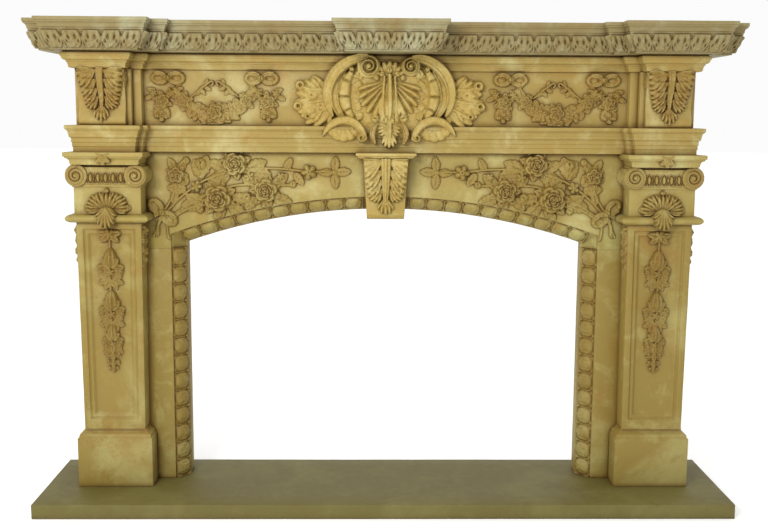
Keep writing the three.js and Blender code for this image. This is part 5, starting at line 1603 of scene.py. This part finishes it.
# %% Cartouche scrolls
CHANNEL = ((148, 96, 11, 0.52), (170, 60, 15, 0.56), (176, 24, 16, 0.58), (174, -8, 16, 0.56),
           (160, -36, 14, 0.52), (146, -52, 6, 0.4))
SLATS = ((122, 94, 10, 0.48), (137, 70, 18, 0.62), (144, 34, 21, 0.68), (143, 0, 21, 0.66),
         (134, -26, 17, 0.58), (118, -50, 8, 0.45))
INNER_FRONDS = ((118, 80, 40, 1.3), (120, 52, 36, 1.5), (122, 22, 36, 1.7), (120, -8, 36, 1.9),
                (112, -34, 34, 2.2))
for side in (-1, 1):
    cart_stroke(side, CHANNEL, 0.05, channel_band, 0.3)
    big = 38 if side < 0 else 31
    arm = [(182, -44, 5, 0.35), (196, -14, 14, 0.50), (200, 26, 19, 0.62), (190, 66, 21, 0.72),
           (168, 100, 21, 0.80), (136, 126, 20, 0.86), (102, 139, 17, 0.90),
           (76, 112 + big * 0.84, 12, 0.92)]
    cart_stroke(side, arm, 0.04, hollow_band, 0.15)
    cart_lay(disc_form, side, 67, 112, big * 0.98, 0, 0.0, 0.66, 0)
    wound = [(67 + a, 112 + b, big * (0.20 - 0.06 * t), 0.92 + 0.06 * t)
             for a, b, t in spiral(1.6, big * 0.84, big * 0.28, math.pi / 2, 40, 1)]
    cart_stroke(side, wound, 0, round_band, 0, 0)
    cart_lay(ball_form, side, 67, 112, big * 0.26, 0, 0.72, 0.26, 0)
    cart_stroke(side, SLATS, 0.06, slatted_band, 0.2)
    for u, v, size, turn in INNER_FRONDS:
        cart_lay(frond_form, side, u, v, size, turn, 0.40, 0.34, 0.3)
    for u, v, size in ((98, 88, 13), (121, 104, 9)):
        cart_lay(bud_form, side, u, v, size, 0.4, 0.34, 0.26, 0.3)
print("scrolls stand out", round(float(c["h"].max()), 3))

# %% [markdown]
# The low scrolls lie over the architrave like two halves of a bracket, each with a smooth fan beneath.

# %% Cartouche low scrolls
for side in (-1, 1):
    low = [(214, -108, 3, 0.34), (202, -88, 9, 0.44), (184, -70, 13, 0.54), (158, -58, 15, 0.60),
           (128, -58, 16, 0.64), (102, -72, 15, 0.66), (86, -94, 13, 0.66), (78, -116, 9, 0.62)]
    cart_stroke(side, low, 0.04, hollow_band, 0.15)
    wound = [(88 + a, -114 + b, 5.5 - 1.5 * t, 0.66) for a, b, t in spiral(1.3, 12, 4, math.pi, 24, 1)]
    cart_lay(ball_form, side, 88, -114, 17, 0, 0.10, 0.38, 0.2)
    cart_stroke(side, wound, 0, round_band, 0, 0)
    cart_lay(fan_form(7, 1.5, 0.10, 0.06), side, 146, -66, 62, math.pi, 0.12, 0.48, 0.2, 1.15)
    hook = [(36, -62, 6, 0.5), (52, -84, 10, 0.62), (56, -108, 10, 0.62), (46, -132, 5, 0.5)]
    cart_stroke(side, hook, 0.05, channel_band, 0.2)
print("low scrolls laid", low[0][:2], low[-1][:2])

# %% [markdown]
# In the middle a scallop shell opens downwards from its hinge, with three ribs over it and a small
# palmette above. A row of buds closes the shell, and the pendant leaf hangs from it. No carving may
# pass the depth that the frame gives the cartouche, so the canvas is cut off there at the end.

# %% Cartouche shell and leaf
CART_LIMIT = 0.0755
cart_lay(fan_form(13, 1.42, 0.30, 0.14), 1, 0, 70, 138, math.pi, 0.36, 0.74, 0.25, 0.92)
for side in (-1, 1):
    for u, v, size, turn in ((34, 56, 62, 1.75), (30, 28, 60, 2.05), (26, 2, 56, 2.4)):
        cart_lay(frond_form, side, u, v, size, turn, 0.44, 0.40, 0.3, 1.15)
cart_lay(narrow_frond, 1, 0, 84, 146, math.pi, 0.58, 0.36, 0.2, 0.9)
middle_rib = [(0, 84, 6, 0.14), (2, 30, 8, 0.15), (2, -30, 7, 0.12), (0, -56, 3, 0.06)]
cart_stroke(1, middle_rib, 0.76, round_band, 0.7)
for side in (-1, 1):
    side_rib = [(16, 80, 4, 0.10), (20, 30, 5, 0.12), (22, -24, 4, 0.10), (18, -52, 2, 0.05)]
    cart_stroke(side, side_rib, 0.70, round_band, 0.8)
cart_lay(fan_form(7, 1.35, 0.18, 0.22), 1, 0, 74, 58, 0, 0.40, 0.50, 0.2)
for u, v, size in ((-24, 88, 10), (24, 88, 10), (0, 100, 11), (42, 76, 9), (-42, 76, 9)):
    cart_lay(bud_form, 1, u, v, size, u, 0.52, 0.22, 0.2)
for u, size in ((-46, 15), (-16, 17), (16, 17), (46, 15)):
    cart_lay(bud_form, 1, u, -56 + abs(u) * 0.12, size, u, 0.46, 0.34, 0.2)
for side in (-1, 1):
    for u, v, size, turn in ((20, -92, 50, 2.3), (16, -76, 58, 1.95), (18, -58, 50, 1.6)):
        cart_lay(frond_form, side, u, v, size, turn, 0.24, 0.50, 0.3)
cart_lay(frond_form, 1, 0, -88, 60, math.pi, 0.36, 0.48, 0.2)
cart_stroke(1, [(0, -58, 9, 0.30), (0, -96, 8, 0.28), (0, -132, 4, 0.14)], 0.42, channel_band, 0.4)
roughened(c, 0.0009, 27)
c["h"] = np.minimum(c["h"], CART_LIMIT)
cartouche_stone = relief("cartouche_stone", c, upright(MAIN_OUT), 0.42)
print("cartouche", triangles(cartouche_stone))

# %% [markdown]
# ## The stone
# It is a dense honey-coloured limestone with a soft sheen, and its age shows in layers. The group
# lays them in order: patches between honey and cream, ochre stains and specks, old wax that darkens
# what is carved, painted light that makes the foot darker and warmer and the head paler, brown dirt
# together with painted shade in hollows and tighter in creases, pale rubbed edges that are partly a
# painted highlight, and small pits. It could all be one picture wrapped round the stone, but noise
# over Object coordinates has no seams and runs through the block. It is one node group, because every
# stone shares it with its own values.

# %% Helpers: nodes
def new_node(tree, kind, **values):
    """A node with its sockets or settings given by name."""
    node = tree.nodes.new(kind)
    for key, value in values.items():
        if key in node.inputs:
            node.inputs[key].default_value = value
        else:
            setattr(node, key, value)
    return node


def mixed(tree, factor, first, second, blend="MIX"):
    """Two colours mixed; each value is a socket or a constant."""
    node = tree.nodes.new("ShaderNodeMix")
    node.data_type = "RGBA"
    node.blend_type = blend
    for socket, value in ((0, factor), (6, first), (7, second)):
        if isinstance(value, bpy.types.NodeSocket):
            tree.links.new(value, node.inputs[socket])
        else:
            node.inputs[socket].default_value = value
    return node.outputs[2]


def ramp(tree, source, low, high):
    """A soft step from nought at low to one at high."""
    node = new_node(tree, "ShaderNodeMapRange")
    node.inputs["From Min"].default_value = low
    node.inputs["From Max"].default_value = high
    node.interpolation_type = "SMOOTHSTEP"
    tree.links.new(source, node.inputs["Value"])
    return node.outputs["Result"]


def combine(tree, a, b, operation="MULTIPLY"):
    node = tree.nodes.new("ShaderNodeMath")
    node.operation = operation
    for socket, value in enumerate((a, b)):
        if isinstance(value, bpy.types.NodeSocket):
            tree.links.new(value, node.inputs[socket])
        else:
            node.inputs[socket].default_value = value
    return node.outputs[0]


def noise_at(tree, coords, scale, detail=4, rough=0.55, warp=0.0):
    """A noise over the object's own places; the scale is in waves a metre."""
    node = new_node(tree, "ShaderNodeTexNoise")
    node.inputs["Scale"].default_value = scale
    node.inputs["Detail"].default_value = detail
    node.inputs["Roughness"].default_value = rough
    node.inputs["Distortion"].default_value = warp
    tree.links.new(coords, node.inputs["Vector"])
    return node.outputs["Fac"]


# %% [markdown]
# The group's inputs are the colours of one kind of stone and how much of each layer it has. Its
# outputs are a colour, a roughness and a height, which the material feeds to its shader and its bump.

# %% Stone group: sockets
group = bpy.data.node_groups.new("old_limestone", "ShaderNodeTree")
# The darkest colour stands for both dirt and painted shade, and the hollows' share sets how much of both is
# laid.
COLOURS = {"Honey": (0.5, 0.4, 0.15, 1), "Cream": (0.6, 0.5, 0.25, 1), "Stain": (0.4, 0.2, 0.04, 1),
           "Dirt_and_shade": (0.1, 0.06, 0.02, 1)}
SHARES = {"Patches": 0.5, "Staining": 0.5, "Hollow_dirt_and_shade": 0.8, "Rubbed_and_highlight": 0.4, "Waxed": 0.5}
RESULTS = {"Color": "NodeSocketColor", "Roughness": "NodeSocketFloat", "Height": "NodeSocketFloat"}
for kind, values in (("NodeSocketColor", COLOURS), ("NodeSocketFloat", SHARES)):
    for label, value in values.items():
        group.interface.new_socket(label, in_out="INPUT", socket_type=kind).default_value = value
for label, kind in RESULTS.items():
    group.interface.new_socket(label, in_out="OUTPUT", socket_type=kind)
given = group.nodes.new("NodeGroupInput")
made = group.nodes.new("NodeGroupOutput")
place = group.nodes.new("ShaderNodeTexCoord").outputs["Object"]

print("stone inputs", [item.name for item in group.interface.items_tree if item.in_out == "INPUT"])

# %% [markdown]
# Patches are a slow noise with a soft ramp, so most of the stone is honey and some of it cream. A
# finer cloud breaks their edges. Stains and specks use the same ochre at two scales. What is carved
# kept more wax and soot than the flat faces. Last comes painted light: the colour is darkened and
# warmed towards the foot and brightened towards the head, as light that falls off downwards.

# %% Stone group: colour
patches = ramp(group, noise_at(group, place, 3.2, 5, 0.6, 0.6), 0.48, 0.68)
creamy = combine(group, patches, given.outputs["Patches"])
tone = mixed(group, creamy, given.outputs["Honey"], given.outputs["Cream"])
cloud = noise_at(group, place, 13, 6, 0.65, 0.4)
tone = mixed(group, combine(group, ramp(group, cloud, 0.5, 0.72), 0.55), tone, given.outputs["Cream"])
stains = ramp(group, noise_at(group, place, 6.5, 6, 0.7, 1.2), 0.50, 0.74)
tone = mixed(group, combine(group, stains, given.outputs["Staining"]), tone, given.outputs["Stain"])
speck = ramp(group, noise_at(group, place, 85, 4, 0.7), 0.45, 0.75)
tone = mixed(group, combine(group, speck, 0.24), tone, given.outputs["Stain"])
carved = new_node(group, "ShaderNodeAttribute", attribute_name="carved").outputs["Fac"]
waxed_tone = mixed(group, 1.0, tone, (0.70, 0.59, 0.32, 1), "MULTIPLY")
tone = mixed(group, combine(group, carved, given.outputs["Waxed"]), tone, waxed_tone)
# Painted light: darker and warmer low down, brighter high up, standing in for light that falls off downwards.
level = group.nodes.new("ShaderNodeSeparateXYZ")
group.links.new(place, level.inputs[0])
raised = ramp(group, level.outputs["Z"], 0.84, 1.09)
painted_light_by_height = mixed(group, raised, (0.88, 0.90, 0.70, 1), (1.10, 1.13, 1.10, 1))
tone = mixed(group, 1.0, tone, painted_light_by_height, "MULTIPLY")

print("colour layers", len(group.nodes), "nodes")

# %% [markdown]
# Brown dirt and painted shade both lie in the hollows, and ambient occlusion finds such places: over
# two centimetres it paints the wide shade beside an ornament, and over half a centimetre the dark line
# at its foot. Few samples are enough, because the picture averages them. The rubbed edges come from
# pointiness, which is read on carved meshes only, where the faces are small enough for it; their pale
# tone is partly wear and partly a painted highlight.

# %% Stone group: dirt and painted shade, wear and painted highlight
# Painted shade with brown dirt: wide ambient occlusion darkens the colour beside the ornament.
hollow = group.nodes.new("ShaderNodeAmbientOcclusion")
hollow.samples = 4
hollow.inputs["Distance"].default_value = 0.022
covered = combine(group, 1.0, hollow.outputs["AO"], "SUBTRACT")
buried_dirt_and_shade = combine(group, ramp(group, covered, 0.08, 0.62), given.outputs["Hollow_dirt_and_shade"])
tone = mixed(group, buried_dirt_and_shade, tone, mixed(group, 0.5, given.outputs["Dirt_and_shade"], given.outputs["Stain"]))
# Painted shade: the most occluded places take the dark colour of dirt and shade.
deep = ramp(group, covered, 0.55, 0.95)
tone = mixed(group, combine(group, deep, given.outputs["Hollow_dirt_and_shade"]), tone, given.outputs["Dirt_and_shade"])
# Painted shade with dirt: tight ambient occlusion draws a dark line in every crease.
tight = group.nodes.new("ShaderNodeAmbientOcclusion")
tight.samples = 3
tight.inputs["Distance"].default_value = 0.005
crease_dirt_and_shade = ramp(group, combine(group, 1.0, tight.outputs["AO"], "SUBTRACT"), 0.22, 0.66)
tone = mixed(group, combine(group, combine(group, crease_dirt_and_shade, 0.8), given.outputs["Hollow_dirt_and_shade"]), tone,
             mixed(group, 0.45, given.outputs["Dirt_and_shade"], given.outputs["Stain"]))
# Partly wear and partly a painted highlight: a pale tone on the carving's sharp high points.
geometry = group.nodes.new("ShaderNodeNewGeometry")
edge = combine(group, ramp(group, geometry.outputs["Pointiness"], 0.52, 0.60), carved)
rubbed_highlight_tone = mixed(group, 0.25, given.outputs["Cream"], (0.95, 0.85, 0.5, 1))
tone = mixed(group, combine(group, edge, given.outputs["Rubbed_and_highlight"]), tone, rubbed_highlight_tone)

print("dirt and wear", len(group.nodes), "nodes")

# %% [markdown]
# Limestone has small pits where a shell fell out. They are the middles of cells, in some places
# only, and they are both darker and deeper. A fine grain and soft lumps give the rest of the height.

# %% Stone group: pits and grain
cells = new_node(group, "ShaderNodeTexVoronoi")
cells.inputs["Scale"].default_value = 150
group.links.new(place, cells.inputs["Vector"])
few = ramp(group, noise_at(group, place, 11, 3, 0.6), 0.50, 0.66)
pits = combine(group, ramp(group, cells.outputs["Distance"], 0.30, 0.08), few)
tone = mixed(group, combine(group, pits, 0.55), tone, given.outputs["Dirt_and_shade"])
group.links.new(tone, made.inputs["Color"])

grain = noise_at(group, place, 420, 3, 0.6)
lumps = noise_at(group, place, 38, 5, 0.6)
height = combine(group, combine(group, grain, 0.35), combine(group, lumps, 0.9), "ADD")
height = combine(group, height, combine(group, pits, 1.4), "SUBTRACT")
group.links.new(height, made.inputs["Height"])
group.links.new(combine(group, combine(group, lumps, 0.22), 0.50, "ADD"), made.inputs["Roughness"])
print("stone group", len(group.nodes), "nodes")

# %% [markdown]
# Each slot of the frame's record is one mix of the same stone. The shelf is greyer, the keystone and
# the cartouche are more ochre, with less dirt and painted shade in their hollows, capitals and
# lintels are paler, and the hearth is duller and darker.

# %% Materials
# The dark colour of both the dirt and the painted shade in hollows and creases.
DIRT_AND_SHADE = (0.045, 0.026, 0.006)


def stone(name, honey, cream, stain, patches, staining, hollow_dirt_and_shade=0.85, rubbed_and_highlight=0.30, waxed=0.65, dirt_and_shade=DIRT_AND_SHADE):
    """One mix of the stone, from its colours and the shares of its layers."""
    material = bpy.data.materials.new(name)
    material.use_nodes = True
    tree = material.node_tree
    shader = tree.nodes["Principled BSDF"]
    shader.inputs["Specular IOR Level"].default_value = 0.35
    node = tree.nodes.new("ShaderNodeGroup")
    node.node_tree = group
    for label, value in zip(COLOURS, (honey, cream, stain, dirt_and_shade)):
        node.inputs[label].default_value = (*value, 1)
    for label, value in zip(SHARES, (patches, staining, hollow_dirt_and_shade, rubbed_and_highlight, waxed)):
        node.inputs[label].default_value = value
    bump = tree.nodes.new("ShaderNodeBump")
    bump.inputs["Strength"].default_value = 0.35
    bump.inputs["Distance"].default_value = 0.0012
    tree.links.new(node.outputs["Color"], shader.inputs["Base Color"])
    tree.links.new(node.outputs["Roughness"], shader.inputs["Roughness"])
    tree.links.new(node.outputs["Height"], bump.inputs["Height"])
    tree.links.new(bump.outputs["Normal"], shader.inputs["Normal"])
    return material


OCHRE = (0.27, 0.135, 0.020)
MATERIALS = {
    "honey_stone": stone("carved_honey", (0.252, 0.176, 0.044), (0.390, 0.340, 0.155), OCHRE, 0.70, 0.50),
    "pale_stone": stone("carved_pale", (0.268, 0.202, 0.056), (0.415, 0.380, 0.178), OCHRE, 0.80, 0.45, 0.92),
    "ochre_stone": stone("carved_ochre", (0.316, 0.219, 0.056), (0.42, 0.350, 0.148), (0.28, 0.145, 0.020),
                         0.60, 0.55, 0.28, 0.15, 0.0),
    "grey_stone": stone("carved_grey", (0.190, 0.146, 0.058), (0.270, 0.252, 0.150), (0.16, 0.092, 0.020),
                        0.90, 0.60, 0.9, 0.15, 0.0),
    "hearth_stone": stone("sawn_hearth", (0.132, 0.108, 0.030), (0.180, 0.156, 0.056), (0.12, 0.077, 0.016),
                          0.6, 0.35, 0.7, 0.35),
}
print("materials", sorted(MATERIALS))

# %% [markdown]
# ## Dressing the frame
# Each carved stone takes the place of its plain twin in the frame and rides on the one body. A
# waver or a curled leaf may stand a hair too far out, so each stone is first kept inside the frame.

# %% Dress
PIECES = [(hearth, "hearth_slab"), (plinth_left, "plinth_left"), (plinth_right, "plinth_right"),
          (shaft_left, "shaft_left"), (shaft_right, "shaft_right"), (capital_left, "capital_left"),
          (capital_right, "capital_right"), (jamb_left, "jamb_left"), (jamb_right, "jamb_right"),
          (lintel_left, "lintel_left"), (lintel_right, "lintel_right"), (keystone_stone, "keystone"),
          (architrave, "architrave"), (frieze, "frieze"), (console_left, "console_left"),
          (console_right, "console_right"), (bed, "bed_moulding"), (shelf, "cornice_shelf"),
          (cartouche_stone, "cartouche")]
slots = {s["node"]: s["material_slot"] for s in frame["record"]["subparts"]}
total = 0
for piece, node in PIECES:
    set_points(piece, np.clip(points_of(piece), BOX_LOW, BOX_HIGH))
    piece.data.materials.clear()
    piece.data.materials.append(MATERIALS[slots[node]])
    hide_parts(node)
    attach(piece, "root")
    total += triangles(piece)
print("pieces", len(PIECES), "triangles", total)

# %% [markdown]
# ## Floor and light
# The floor is a plain pale disc that glows a little, so that it meets the sky without a line. The
# light is that of a studio: a panel in front on the left, two metres up, models the carving, a weak
# one on the right opens the shadows, and a pale sky does the rest. The sky is dimmer on the right
# behind the camera, which keeps the right cheeks of the stones a shade darker, and brighter overhead.

# %% Stage
fresh()
ground = (0, 0, cad_box[0].z - 0.0005)
bpy.ops.mesh.primitive_circle_add(vertices=96, radius=40, fill_type="NGON", location=ground)
floor = bpy.context.object
floor.name = floor.data.name = "floor"
floor_paint = bpy.data.materials.new("pale_floor")
floor_paint.use_nodes = True
floor_paint.node_tree.nodes["Principled BSDF"].inputs["Base Color"].default_value = (0.97, 0.97, 0.97, 1)
floor_paint.node_tree.nodes["Principled BSDF"].inputs["Roughness"].default_value = 0.9
floor_paint.node_tree.nodes["Principled BSDF"].inputs["Emission Color"].default_value = (1, 1, 1, 1)
floor_paint.node_tree.nodes["Principled BSDF"].inputs["Emission Strength"].default_value = 0.13
floor.data.materials.append(floor_paint)


def panel_light(name, place, target, size, power, colour=(1, 1, 1)):
    light = bpy.data.objects.new(name, bpy.data.lights.new(name, "AREA"))
    light.data.size = size
    light.data.energy = power
    light.data.color = colour
    light.location = place
    light.rotation_euler = (Vector(target) - Vector(place)).to_track_quat("-Z", "Y").to_euler()
    bpy.context.scene.collection.objects.link(light)


panel_light("key_light", (-1.35, -3.2, 2.1), (0, 0, 1.0), 1.0, 88, (1, 0.98, 0.94))
panel_light("side_light", (1.6, -3.0, 1.6), (0, 0, 0.9), 1.6, 10)
world = bpy.data.worlds.new("studio")
bpy.context.scene.world = world
world.use_nodes = True
sky = world.node_tree
way = sky.nodes.new("ShaderNodeSeparateXYZ")
sky.links.new(sky.nodes.new("ShaderNodeTexCoord").outputs["Generated"], way.inputs[0])
rightward = ramp(sky, way.outputs["X"], -0.35, 0.75)
frontward = ramp(sky, way.outputs["Y"], 0.02, -0.30)
overhead = mixed(sky, ramp(sky, way.outputs["Z"], 0.30, 0.85), (1, 1, 1, 1), (1.2, 1.2, 1.2, 1))
sky_tone = mixed(sky, combine(sky, rightward, frontward), overhead, (0.45, 0.45, 0.47, 1))
sky.links.new(sky_tone, sky.nodes["Background"].inputs["Color"])
world.node_tree.nodes["Background"].inputs["Strength"].default_value = 0.97
bpy.context.scene.view_settings.view_transform = "Standard"
print("stage ready")
